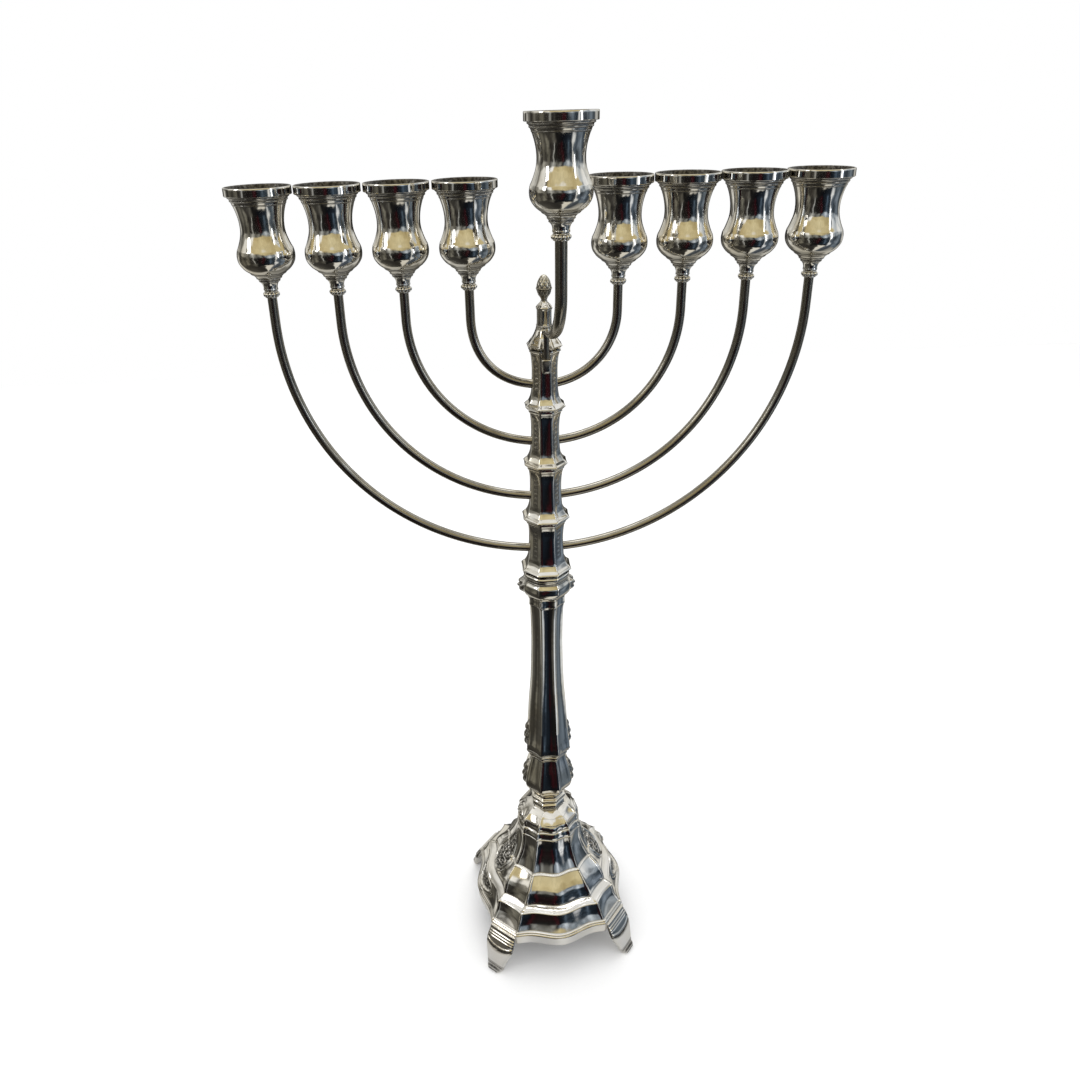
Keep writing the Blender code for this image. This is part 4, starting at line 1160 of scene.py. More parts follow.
@dataclass(frozen=True)
class BellBase:
    """The hollow stepped bell with bowed sides and cut corners."""

    turn: float = math.radians(5.0)
    bow_share: float = 0.82
    wall: float = 2.0
    boss_underside: float = 100.0
    top: float = 106.0
    hem_top: float = 27.8
    hem_matt: float = 0.8
    bore: float = 3.4
    plain_points: int = 33
    ornate_points: int = 113
    corner_points: int = 7
    ridge_steps: tuple[float, ...] = (0.0, 0.3, 0.6, 0.95, 1.4, 1.9)
    ridge_height: float = 0.4
    ridge_width: float = 0.8
    corner_hollow: float = 0.055
    courses: tuple[Course, ...] = (
        Course(Tier(20.0, 54.5, 48.2, 32.6), Tier(20.4, 54.8, 48.5, 32.7), 3),
        Course(Tier(20.4, 54.8, 48.5, 32.7), Tier(27.9, 55.5, 49.2, 33.0), 9, bulge=-0.15),
        Course(Tier(27.9, 55.5, 49.2, 33.0), Tier(29.1, 54.9, 48.6, 32.75), 9, bulge=0.3),
        Course(Tier(29.2, 54.5, 48.2, 32.6), Tier(30.4, 53.9, 47.7, 32.3), 9, bulge=0.42),
        Course(Tier(30.5, 53.1, 47.0, 31.8), Tier(41.8, 47.6, 42.6, 28.3), 26, bulge=-0.75),
        Course(Tier(41.8, 47.5, 42.5, 28.2), Tier(43.0, 46.9, 41.9, 27.9), 9, bulge=0.5),
        Course(Tier(43.1, 46.4, 41.5, 27.6), Tier(44.5, 42.1, 38.0, 24.5), 12, bulge=0.4),
        Course(Tier(44.7, 41.5, 37.5, 24.0), Tier(62.2, 31.5, 28.4, 17.1), 46, bulge=2.2),
        Course(Tier(62.2, 31.7, 28.6, 17.2), Tier(63.4, 30.9, 27.9, 16.8), 9, bulge=0.55),
        Course(Tier(63.5, 30.2, 27.2, 16.3), Tier(87.5, 22.8, 20.6, 12.2), 54, bulge=-2.0),
        Course(Tier(87.6, 23.0, 20.8, 12.3), Tier(88.6, 22.9, 20.7, 12.25), 9, bulge=0.25),
        Course(Tier(88.7, 22.7, 20.5, 12.15), Tier(93.0, 22.0, 19.7, 11.7), 12, bulge=0.35),
        Course(Tier(93.1, 21.9, 19.6, 11.6), Tier(94.0, 21.9, 19.4, 11.5), 9, bulge=0.3),
        Course(Tier(94.1, 21.7, 19.1, 11.3), Tier(103.0, 16.8, 15.6, 8.2), 22, bulge=2.0),
        Course(Tier(103.0, 16.8, 15.6, 8.2), Tier(106.0, 11.5, 11.5, 4.76), 10, bulge=0.5),
    )
    cartouches: tuple[Cartouche, ...] = (
        Cartouche(19.0, 5.6, 14.5, 12.5, ((4.6, 0.0), (9.6, -0.6), (0.0, 2.6)), 2.3),
        Cartouche(54.5, 19.5, 12.6, 4.6, ((4.6, -10.6), (0.0, -14.5), (3.6, -3.6), (0.0, 2.4),
                                          (2.2, 8.0), (0.0, 13.0)), 2.6),
        Cartouche(92.0, 4.0, 6.2, 4.2, ((2.2, 0.0), (0.0, 2.0)), 2.0, border=0.6),
    )

    def side_points(self, tiers: np.ndarray, count: int) -> tuple[np.ndarray, np.ndarray, np.ndarray]:
        """One bowed side, facing the front, with extra points near its two arrises, where the soft ridges
        are raised later.

        Args:
            tiers: Tiers as (tier, size).
            count: Points along the side, besides those of its ridges.

        Returns:
            Distance from the nearer arris, and the points' X and Y, each as (tier, point).
        """
        z, mid, side, half = (tiers[:, i:i + 1] for i in range(4))
        inner = np.linspace(-1, 1, count)[None, :] * (half - self.ridge_steps[-1] - 0.4)
        ends = half - np.array(self.ridge_steps)[None, :]
        x = np.concatenate([-ends, inner, ends[:, ::-1]], axis=1)
        share = x / half
        bow = 0.5 + 0.5 * np.cos(math.pi * np.minimum(1, np.abs(share) / self.bow_share))
        return half - np.abs(x), x, -side - (mid - side) * bow

    def ridge(self, away: np.ndarray, heights: np.ndarray) -> np.ndarray:
        """How far the surface is raised beside an arris; the hem and the neck stay plain."""
        shown = np.clip((heights - 28.6) / 1.5, 0, 1) * np.clip((104.5 - heights) / 4, 0, 1)
        return self.ridge_height * np.exp(-(away / self.ridge_width) ** 2) * shown

    def rings(self, tiers: np.ndarray, ornament: bool) -> tuple[np.ndarray, np.ndarray]:
        """Rings of points for tiers, and their oxide, before the base's own turn.

        Args:
            tiers: Tiers as (tier, size).
            ornament: Whether the ridges and panels are raised.

        Returns:
            Points as (ring, point, xyz), and their oxide as (ring, point).
        """
        climb = np.gradient(tiers, axis=0)
        run = np.hypot(climb[:, 0], climb[:, 1])[:, None] + 1e-9
        tilt_out, tilt_up = climb[:, :1] / run, -climb[:, 1:2] / run
        travelled = travel(tiers[:, :2])[:, None]
        level, side, half = tiers[:, :1], tiers[:, 2:3], tiers[:, 3:4]
        columns, grimes = [], []
        for quarter in range(4):
            ornate = quarter % 2 == 1
            away, x, y = self.side_points(tiers, self.ornate_points if ornate else self.plain_points)
            z = level + 0 * x
            grime = 0 * x
            if ornament:
                rise = self.ridge(away, level)
                y = y - rise * tilt_out
                z = z + rise * tilt_up
            if ornate and ornament:
                for panel in self.cartouches:
                    out, dirt = panel.relief(x, travelled + 0 * x)
                    fade = np.clip((away - 1.0) / 1.5, 0, 1)
                    y = y - out * fade * tilt_out
                    z = z + out * fade * tilt_up
                    grime = np.maximum(grime, dirt * fade)
            width = (side - half) * math.sqrt(2)
            inner = np.linspace(0, 1, self.corner_points)[None, :] * (width - 4.4) + 2.2
            steps = np.array(self.ridge_steps[1:])[None, :]
            along = np.concatenate([steps + 0 * width, inner, width - steps[:, ::-1]], axis=1)
            share = along / width
            out = 0 * along
            if ornament:
                drawn = (self.corner_hollow * width * 4 * share * (1 - share)
                         * np.clip((level - 30) / 6, 0, 1))
                out = self.ridge(np.minimum(along, width - along), level) - drawn
            x = np.concatenate([x, half + (side - half) * share + out * math.sqrt(0.5)], axis=1)
            y = np.concatenate([y, -side + (side - half) * share - out * math.sqrt(0.5)], axis=1)
            z = np.concatenate([z, level + 0 * share], axis=1)
            grime = np.concatenate([grime, 0 * share], axis=1)
            columns.append(spun(np.stack([x, y, z], axis=-1), quarter * math.pi / 2))
            grimes.append(grime)
        return np.concatenate(columns, axis=1), np.concatenate(grimes, axis=1)

    def inner_tiers(self) -> np.ndarray:
        """Tiers of the inside of the wall, from the boss down to the hem.

        Returns:
            Tiers as (tier, size).
        """
        corner = (math.sqrt(2) - 1) * self.wall
        rows = []
        for course in self.courses:
            for tier in course.tiers()[::4]:
                if tier[0] < self.boss_underside - 8:
                    drop = min(self.wall, tier[0] - self.courses[0].low.height)
                    rows.append(tier - np.array((drop, self.wall, self.wall, corner)))
        rows = sorted(rows, key=lambda row: -row[0])
        ceiling = rows[0].copy()
        ceiling[0] = self.boss_underside
        return np.array([ceiling, *rows])

    def build(self, finish: bpy.types.Material) -> None:
        """Build and dress the bell.

        Args:
            finish: Its material.
        """
        tiers = np.concatenate([course.tiers() for course in self.courses])
        edges = np.concatenate([course.grime() for course in self.courses])
        outer, grime = self.rings(tiers, True)
        grime = np.maximum(grime, edges[:, None])
        inner, _ = self.rings(self.inner_tiers(), False)
        round_top = outer[-1, :, :2] / np.linalg.norm(outer[-1, :, :2], axis=1)[:, None] * self.bore
        bore = [np.column_stack([round_top, np.full(len(round_top), level)])
                for level in (self.top, self.boss_underside)]
        rings = np.concatenate([outer, np.array(bore), inner])
        grime = np.concatenate([grime, np.full((2 + len(inner), grime.shape[1]), 0.45)])
        outside = (np.arange(len(rings)) < len(outer))[:, None]
        matt = np.where(outside & (rings[..., 2] < self.hem_top), self.hem_matt, 0.0)
        mesh = skin("stepped_bell", spun(rings, self.turn), grime, Ends.WRAP, 62.0, matt)
        dress(mesh, "stepped_bell", finish, Body.STAND, Slot.BASE, "base_shell")


@dataclass(frozen=True)
class TongueFoot:
    """A cast foot: a plate on the hem's cut corner, a knee, a tongue and a rolled toe."""

    corner: float = (49.2 + 33.0) / math.sqrt(2)
    hem: float = 20.0
    hem_band: float = 8.5
    outreach: float = 14.9
    knee: float = 6.2
    top_half: float = (49.2 - 33.0) / math.sqrt(2) - 0.5
    toe_half: float = 5.4
    thickness: float = 4.2
    plate: float = 1.8
    turn: float = math.radians(5.0)
    sides: int = 56

    def sections(self) -> np.ndarray:
        """Smooth sections as (distance from the axis, height, half width, half thickness).

        Returns:
            The sections, from the plate on the hem to the toe.
        """
        half, plate, top = self.thickness / 2, self.plate / 2, self.top_half
        tip = self.corner + self.outreach
        return smooth([
            (self.corner + 0.3 + plate, self.hem + self.hem_band - 1.0, top, plate),
            (self.corner + 0.5 + plate, self.hem + 0.6 * self.hem_band, top, plate + 0.2),
            (self.corner + 0.58 * self.knee, self.hem + 0.8, 1.05 * top, 0.8 * half),
            (self.corner + self.knee, self.hem - 4.5, top, half),
            (self.corner + self.knee + 2.8, 8.4, 0.76 * top, half),
            (tip - 4.2, half + 0.6, self.toe_half + 1.4, half),
            (tip - 1.6, half - 0.5, self.toe_half, half),
            (tip, 0.5 * half - 0.1, self.toe_half - 1.6, 0.55 * half)], steps=12)

    def mesh(self, name: str, angle: float) -> bpy.types.Mesh:
        """One foot, reaching out at an angle round the axis.

        Args:
            name: Name of the mesh.
            angle: The way it reaches, in radians from +X.

        Returns:
            The mesh.
        """
        rows = self.sections()
        along = np.gradient(rows[:, :2], axis=0)
        along /= np.linalg.norm(along, axis=1)[:, None]
        travelled = travel(rows[:, :2])
        turns = np.arange(self.sides) * 2 * math.pi / self.sides
        across = np.sign(np.cos(turns)) * np.abs(np.cos(turns)) ** 0.45
        through = np.sign(np.sin(turns)) * np.abs(np.sin(turns)) ** 0.6
        s, a = travelled[:, None], across[None, :]
        face = np.clip(through, 0, 1)[None, :]
        arc = travelled[-1] * 0.42 - 3.4 * a ** 2
        steps = (0.35 * np.exp(-((s - 3.6) / 0.5) ** 2) + 0.4 * np.exp(-((s - 5.6) / 0.5) ** 2)
                 + 0.3 * np.exp(-((s - 7.2) / 0.4) ** 2))
        crescent = (0.5 * np.exp(-((s - arc + 0.6) / 0.6) ** 2)
                    - 0.8 * np.exp(-((s - arc - 1.3) / 0.8) ** 2))
        toe = np.clip((s - travelled[-1] * 0.76) / 1.5, 0, 1)
        ribs = 0.22 * toe * np.cos(2 * math.pi * s / 1.7)
        relief = face * (steps + crescent + ribs)
        reach = rows[:, :1] - along[:, 1:2] * (through * rows[:, 3:4] + relief)
        height = rows[:, 1:2] + along[:, :1] * (through * rows[:, 3:4] + relief)
        wide = across * rows[:, 2:3]
        rings = spun(np.stack([reach, wide, np.maximum(height, 0)], axis=-1), angle)
        grime = face * (1.2 * np.exp(-((s - arc - 1.3) / 0.9) ** 2)
                        + 0.5 * np.exp(-((s - 4.6) / 0.35) ** 2)
                        + toe * (0.75 - 0.25 * np.cos(2 * math.pi * s / 1.7)))
        grime = np.clip(grime + 0.08 + 0 * s, 0, 1)
        matt = 0.9 * np.clip((s - arc - 2.0) / 1.0, 0, 1) + 0 * a
        return skin(name, rings, grime, Ends.CLOSED, 45.0, matt)

    def build(self, finish: bpy.types.Material) -> None:
        """Build and dress the four feet.

        Args:
            finish: Their material.
        """
        for quarter, tag in enumerate(("back_right", "back_left", "front_left", "front_right")):
            angle = self.turn + math.pi / 4 + quarter * math.pi / 2
            mesh = self.mesh(f"tongue_{tag}", angle)
            dress(mesh, f"tongue_{tag}", finish, Body.STAND, Slot.BASE, f"foot_{tag}")


@dataclass(frozen=True)
class ClampFittings:
    """The brass rod, washer and nut that draw the column down on the base."""

    rod: float = 3.0
    washer: float = 8.0
    washer_bore: float = 3.4
    flats: float = 10.0
    nut_bore: float = 3.2
    nut_sides: int = 72
    thread_pitch: float = 0.8

    def rod_mesh(self) -> bpy.types.Mesh:
        """The rod, with chamfered ends.

        Returns:
            The mesh.
        """
        low, high = place_of("tie_rod")
        end, side = self.rod - 0.6, self.rod - 0.15
        profile = np.array([(0, low[2]), (end, low[2]), (side, low[2] + 0.5), (side, high[2] - 0.5),
                            (end, high[2]), (0, high[2])])
        return skin("clamp_rod", lathe(profile, 40, (0, 0, 0)), 0.2, Ends.CLOSED)

    def nut_mesh(self) -> bpy.types.Mesh:
        """The hexagon nut, with its corners chamfered.

        Returns:
            The mesh.
        """
        low, high = place_of("clamp_nut")
        angles = np.arange(self.nut_sides) * 2 * math.pi / self.nut_sides
        off = (angles + math.pi / 6) % (math.pi / 3) - math.pi / 6
        foot, top = low[2], high[2]
        limits = ((foot, 4.7), (foot + 0.5, 5.5), (foot + 0.9, 9), (top - 0.9, 9), (top - 0.5, 5.5),
                  (top, 4.7), (top, self.nut_bore), (foot, self.nut_bore))
        z, limit = np.array(limits).T[..., None]
        r = np.minimum(self.flats / 2 / np.cos(off), limit)
        rings = np.stack([r * np.cos(angles), r * np.sin(angles), 0 * r + z], axis=-1)
        return skin("hexagon_nut", rings, 0.15, Ends.WRAP, 20.0)

    def washer_mesh(self) -> bpy.types.Mesh:
        """The washer, with its edges broken.

        Returns:
            The mesh.
        """
        low, high = place_of("clamp_washer")
        r, bore = self.washer, self.washer_bore
        profile = np.array([(bore, low[2]), (r - 0.3, low[2]), (r, low[2] + 0.3), (r, high[2] - 0.3),
                            (r - 0.3, high[2]), (bore, high[2])])
        return skin("clamp_washer_disc", lathe(profile, 64, (0, 0, 0)), 0.2, Ends.WRAP)

    def thread_mesh(self, finish: bpy.types.Material) -> bpy.types.Mesh:
        """The ridges of the thread under the nut.

        Args:
            finish: Their material.

        Returns:
            One mesh of all the ridges.
        """
        tree, keys = thread_tree()
        low, _ = place_of("tie_rod")
        nut, _ = place_of("clamp_nut")
        count = int((nut[2] - low[2] - 1.0) / self.thread_pitch)
        start = points_mesh("rod_thread", np.array([(0, 0, low[2] + 1.0)]), False)
        return grow(start, tree, keys, {
            "Radius": (self.rod - 0.2) * MM, "Ridge": 0.2 * MM, "Count": max(2, count),
            "Pitch": (0.0, 0.0, self.thread_pitch * MM), "Finish": finish})

    def build(self, brass: bpy.types.Material) -> None:
        """Build and dress the fittings.

        Args:
            brass: Their material.
        """
        dress(self.rod_mesh(), "clamp_rod", brass, Body.STAND, Slot.BRASS, "tie_rod")
        dress(self.nut_mesh(), "hexagon_nut", brass, Body.STAND, Slot.BRASS, "clamp_nut")
        dress(self.washer_mesh(), "clamp_washer_disc", brass, Body.STAND, Slot.BRASS, "clamp_washer")
        dress(self.thread_mesh(brass), "rod_thread", brass, Body.STAND, Slot.BRASS)


# ==== shamash =====================================================================================
@dataclass(frozen=True)
class Shamash:
    """The lift-off servant light: its arm ends in a tongue that hangs in a socket on the column."""

    tube: float = 3.1
    swing: float = math.radians(4.7)
    tube_in_cup: float = 4.7
    bend_height: float = 28.0
    bend_over_top_piece: float = 12.5     # from the foot of the column's top piece to the bend's
    tongue_bend: float = 4.0
    tongue_half_width: float = 1.6
    tongue_half_thickness: float = 0.8
    tongue_y: float = -11.3
    socket_wall: float = 0.9
    socket_sides: int = 48
    arm_sides: int = 36
    clearance: float = 0.3
    cup: TulipCup = TulipCup()
    ferrule: Ferrule = Ferrule(bead_count=14)

    def line(self, seat: tuple[float, float, float], low: float) -> tuple[np.ndarray, np.ndarray]:
        """The arm from its cup down to the tip of its tongue.

        Args:
            seat: Where its cup stands.
            low: Height of the tip.

        Returns:
            Its centre line, and its half width and half thickness at each point.
        """
        bend_end = self.tongue_y - self.tongue_bend
        depth = bend_end - seat[1]
        bend_foot = place_of("spine_top")[0][2] + self.bend_over_top_piece
        straight = np.linspace(seat[2] + self.tube_in_cup, bend_foot + self.bend_height, 18)[:-1]
        rows = [(seat[1], z, self.tube, self.tube) for z in straight]
        for share in np.linspace(0, 1, 40):
            angle = share * math.pi / 2
            taper = max(0.0, share - 0.5) * 2 * 0.8
            rows.append((seat[1] + depth * (1 - math.cos(angle)),
                         bend_foot + self.bend_height * (1 - math.sin(angle)),
                         self.tube + (self.tongue_half_width - self.tube) * taper,
                         self.tube + (self.tongue_half_thickness - self.tube) * taper))
        for share in np.linspace(0.15, 1, 8):
            angle = share * math.pi / 2
            rows.append((bend_end + self.tongue_bend * math.sin(angle),
                         bend_foot - self.tongue_bend * (1 - math.cos(angle)),
                         self.tongue_half_width, self.tongue_half_thickness))
        for z in np.linspace(bend_foot - self.tongue_bend, low, 10)[1:]:
            tip = min(1.0, 0.35 + (z - low) / 1.4)
            rows.append((self.tongue_y, z, self.tongue_half_width * tip,
                         self.tongue_half_thickness * tip))
        table = np.array(rows)
        x = np.maximum(0, self.tongue_y - table[:, 0]) * math.tan(self.swing)
        return np.column_stack([x, table[:, :2]]), table[:, 2:]

    def arm_mesh(self, seat: tuple[float, float, float]) -> bpy.types.Mesh:
        """The arm, round above and flattened into a tongue below.

        Args:
            seat: The middle of its cup's foot, in millimetres.

        Returns:
            The mesh.
        """
        low, _ = place_of("shamash_arm")
        line, sizes = self.line(seat, low[2])
        along = np.gradient(line, axis=0)
        along /= np.linalg.norm(along, axis=1)[:, None]
        across = np.array((math.cos(self.swing), math.sin(self.swing), 0.0))
        out = np.cross(along, across)
        out /= np.linalg.norm(out, axis=1)[:, None]
        side = np.cross(out, along)
        turns = np.arange(self.arm_sides) * 2 * math.pi / self.arm_sides
        rings = (line[:, None, :] + side[:, None, :] * (sizes[:, :1] * np.cos(turns))[..., None]
                 + out[:, None, :] * (sizes[:, 1:] * np.sin(turns))[..., None])
        flat = np.clip((self.tube - sizes[:, :1]) / (self.tube - self.tongue_half_width), 0, 1)
        return skin("servant_arm", rings, 0.12 + 0.2 * flat, Ends.CLOSED, 50.0)

    def socket_mesh(self) -> bpy.types.Mesh:
        """The pocket that holds the tongue, with a rounded foot and a raised lip.

        Returns:
            The mesh.
        """
        low, high = place_of("shamash_socket")
        foot, top = low[2], high[2]
        mouth = self.tongue_half_width + self.clearance
        half = mouth + self.socket_wall
        front, back = low[1], high[1] - 0.2
        depth = self.tongue_half_thickness + self.clearance
        near, far = self.tongue_y - depth, self.tongue_y + depth
        loops = (                       # half width, front, back, height, oxide
            (half * 0.35, front + 1.8, back - 1.2, foot, 0.4),
            (half * 0.72, front + 0.8, back, foot + 0.35, 0.35),
            (half * 0.94, front + 0.25, back, foot + 1.2, 0.3),
            (half - 0.15, front + 0.15, back, foot + 2.2, 0.3),
            (half - 0.15, front + 0.15, back, top - 1.5, 0.7),
            (half, front, back, top - 1.2, 0.35), (half, front, back, top - 0.3, 0.2),
            (half - 0.2, front + 0.2, back, top, 0.15),
            (mouth + 0.15, near - 0.15, far + 0.15, top, 0.3), (mouth, near, far, top - 0.3, 0.8),
            (mouth, near, far, foot + 1.0, 0.95))
        wide, y0, y1, level, grime = np.array(loops).T[..., None]
        turns = np.arange(self.socket_sides) * 2 * math.pi / self.socket_sides
        c = np.sign(np.cos(turns)) * np.abs(np.cos(turns)) ** 0.5
        s = np.sign(np.sin(turns)) * np.abs(np.sin(turns)) ** 0.5
        rings = np.stack([wide * c, (y0 + y1) / 2 + (y1 - y0) / 2 * s, 0 * c + level], axis=-1)
        return skin("tongue_socket", rings, grime, Ends.CLOSED, 50.0)

    def build(self, plate: bpy.types.Material, tube_finish: bpy.types.Material) -> None:
        """Build and dress the shamash and its socket.

        Args:
            plate: Finish of the cup, ferrule and socket.
            tube_finish: Finish of the arm.
        """
        seat = seat_of("shamash_cup")
        dress(self.arm_mesh(seat), "servant_arm", tube_finish, Body.SHAMASH, Slot.TUBE, "shamash_arm")
        dress(self.cup.mesh("servant_cup", self.tube, seat), "servant_cup", plate, Body.SHAMASH,
              Slot.POLISHED, "shamash_cup")
        dress(self.ferrule.mesh("servant_collar", self.tube, seat), "servant_collar", plate, Body.SHAMASH,
              Slot.POLISHED, "shamash_ferrule")
        beads = self.ferrule.beads("servant_beads", self.tube, [seat], plate)
        dress(beads, "servant_beads", plate, Body.SHAMASH, Slot.POLISHED)
        dress(self.socket_mesh(), "tongue_socket", plate, Body.STAND, Slot.POLISHED, "shamash_socket")


# ==== studio ======================================================================================
@dataclass(frozen=True)
class SoftBox:
    """A rectangular studio light, aimed at a point. Sizes and places are in metres."""

    name: str
    place: tuple[float, float, float]
    aim: tuple[float, float, float]
    width: float
    height: float
    power: float
    colour: str

    def build(self) -> None:
        """Hang the light."""
        light = bpy.data.lights.new(self.name, "AREA")
        light.shape = "RECTANGLE"
        light.size, light.size_y = self.width, self.height
        light.energy = self.power
        light.color = srgb(self.colour)[:3]
        lamp = bpy.data.objects.new(self.name, light)
        lamp.location = self.place
        look = Vector(self.aim) - Vector(self.place)
        lamp.rotation_euler = look.to_track_quat("-Z", "Y").to_euler()
        bpy.context.scene.collection.objects.link(lamp)


@dataclass(frozen=True)
class Zone:
    """A level zone of the room that the silver mirrors."""

    foot: float               # sine of the height angle at which it starts
    blur: float               # half the height of its soft lower edge, as a sine
    clutter: float            # how uneven its light is
    stops: tuple[tuple[float, str], ...]     # degrees to the right of the front, and the colour there


@dataclass(frozen=True)
class Studio:
    """A pale floor, soft light and the camera, which stands close and looks a little down."""

    camera_place: tuple[float, float, float] = (-45.81, -476.21, 577.19)
    pan: float = math.radians(2.47)
    tilt: float = math.radians(24.12)
    roll: float = math.radians(-1.70)
    lens: float = 28.275
    shift: tuple[float, float] = (0.0328, -0.0523)
    floor_half: float = 1.5
    sway_in_turn: float = 0.09       # how crooked the zones' edges are, as a share of a whole turn
    sway_in_height: float = 0.3      # and as a sine of height
    boxes: tuple[SoftBox, ...] = (
        SoftBox("window_left", (-1.3, -0.5, 1.1), (0, 0, 0.35), 0.3, 0.6, 1.8, "#FFFFFF"),
        SoftBox("strip_right", (1.1, -0.75, 0.8), (0, 0, 0.35), 0.1, 0.9, 1.0, "#EAF2FF"),
        SoftBox("top_fill", (0.0, 0.5, 1.9), (0, 0, 0.3), 1.4, 1.2, 9.0, "#FFFFFF"),
    )
    zones: tuple[Zone, ...] = (
        Zone(-1.0, 0.02, 0.6, (
            (-180, "#8E8C85"), (-140, "#C4C1B8"), (-112, "#4A4843"), (-75, "#34322F"), (-30, "#2C2A28"),
            (-5, "#3A3834"), (3, "#E2DFD6"), (36, "#DAD7CE"), (46, "#5A6068"), (80, "#3A4048"),
            (116, "#BDBBB4"), (140, "#6A6862"), (180, "#8E8C85"))),
        Zone(-0.70, 0.03, 1.6, (
            (-180, "#4A4845"), (-158, "#6E6C66"), (-136, "#CFCCC3"), (-122, "#46443F"), (-60, "#34322E"),
            (-40, "#5C5A54"), (-30, "#1C1B1A"), (0, "#101115"), (24, "#161B22"), (44, "#2A323C"),
            (50, "#E6EAEE"), (57, "#3E4852"), (84, "#6E7985"), (112, "#4A545E"), (134, "#D2CFC6"),
            (152, "#5A5852"), (180, "#4A4845"))),
        Zone(-0.50, 0.06, 2.0, (
            (-180, "#3A3A3A"), (-164, "#6E6C66"), (-150, "#34332F"), (-136, "#DCDAD3"), (-126, "#5A5852"),
            (-112, "#3C3A36"), (-96, "#6A675D"), (-84, "#45433D"), (-70, "#79766B"), (-58, "#2A2825"),
            (-47, "#3C3A37"), (-42, "#C8C9C6"), (-38, "#2E2D2B"), (-22, "#1A1918"), (-9, "#1F1113"),
            (-3, "#331419"), (3, "#1B0E11"), (7, "#101217"), (20, "#1C242D"), (30, "#4C5B6B"),
            (37, "#222A32"), (44, "#394552"), (49, "#F4F6F8"), (55, "#5D6875"), (70, "#3A444F"),
            (84, "#7E8996"), (98, "#4A545E"), (116, "#343B43"), (132, "#DCDAD3"), (144, "#3A3935"),
            (160, "#5A5852"), (180, "#3A3A3A"))),
        Zone(-0.2, 0.07, 2.0, (
            (-180, "#1E1E1E"), (-160, "#2C2B29"), (-150, "#6A6862"), (-140, "#2A2927"), (-130, "#DCDAD3"),
            (-120, "#4A4843"), (-108, "#2E2C29"), (-92, "#5A574E"), (-80, "#35332E"), (-66, "#67645A"),
            (-56, "#262422"), (-47, "#35332F"), (-42, "#B4B5B2"), (-38, "#2A2927"), (-20, "#1A1918"),
            (-8, "#1F1113"), (-2, "#37161B"), (4, "#1B0E11"), (8, "#101217"), (21, "#1C242D"),
            (30, "#465463"), (38, "#222A32"), (44, "#323D48"), (49, "#F4F6F8"), (55, "#4D5762"),
            (74, "#2C343C"), (92, "#6E7984"), (112, "#343B43"), (130, "#DCDAD3"), (140, "#2A2927"),
            (160, "#35342F"), (180, "#1E1E1E"))),
        Zone(0.04, 0.05, 2.6, (
            (-180, "#8C8A84"), (-150, "#D8D6CE"), (-115, "#4A4842"), (-90, "#A5A298"), (-62, "#4A4843"),
            (-45, "#B9BAB6"), (-30, "#55544F"), (-12, "#8A8B88"), (0, "#232122"), (12, "#6F7A86"),
            (30, "#B7C0CA"), (44, "#4A5661"), (52, "#F4F6F8"), (75, "#66727E"), (100, "#C9CED2"),
            (150, "#D8D6CE"), (180, "#8C8A84"))),
        Zone(0.27, 0.035, 0.7, (
            (-180, "#C9C6BD"), (-150, "#E4E2DB"), (-118, "#6A675E"), (-100, "#D8D5CC"), (-70, "#F2F1EC"),
            (-63, "#45433E"), (-57, "#F4F4F2"), (-38, "#F6F5F0"), (-33, "#B9A97E"), (-5, "#D3C69C"),
            (38, "#A99A70"), (50, "#C9BB90"), (55, "#5F6B78"), (64, "#F2F5F8"), (80, "#B4BCC4"),
            (100, "#E6E8E9"), (120, "#F0F0EE"), (150, "#CFCCC2"), (180, "#C9C6BD"))),
        Zone(0.46, 0.04, 0.7, (
            (-180, "#C9C6BD"), (-150, "#E4E2DB"), (-118, "#6A675E"), (-104, "#D8D5CC"), (-84, "#F2F1EC"),
            (-74, "#55534C"), (-66, "#B9A97E"), (-30, "#CFC197"), (0, "#D6CAA2"), (50, "#BFB085"),
            (80, "#C9BB90"), (88, "#5F6B78"), (98, "#E6E8E9"), (120, "#F0F0EE"), (150, "#CFCCC2"),
            (180, "#C9C6BD"))),
        Zone(0.74, 0.05, 0.6, (
            (-180, "#D9D8D4"), (-60, "#F8F8F6"), (60, "#E6E6E4"), (180, "#D9D8D4"))),
    )

    def camera(self) -> None:
        """Set up the camera from its place and its three turns."""
        aim = Vector((math.sin(self.pan) * math.cos(self.tilt), math.cos(self.pan) * math.cos(self.tilt),
                      -math.sin(self.tilt)))
        right = Vector((math.cos(self.pan), -math.sin(self.pan), 0.0))
        up = right.cross(aim)
        level = math.cos(self.roll) * right + math.sin(self.roll) * up
        upright = -math.sin(self.roll) * right + math.cos(self.roll) * up
        data = bpy.data.cameras.new("camera")
        data.lens, data.sensor_width = self.lens, 36.0
        data.shift_x, data.shift_y = self.shift
        data.clip_start = 0.01
        camera = bpy.data.objects.new("camera", data)
        turned = Matrix((level, upright, -aim)).transposed().to_4x4()
        camera.matrix_world = Matrix.Translation(Vector(self.camera_place) * MM) @ turned
        bpy.context.scene.collection.objects.link(camera)
        bpy.context.scene.camera = camera

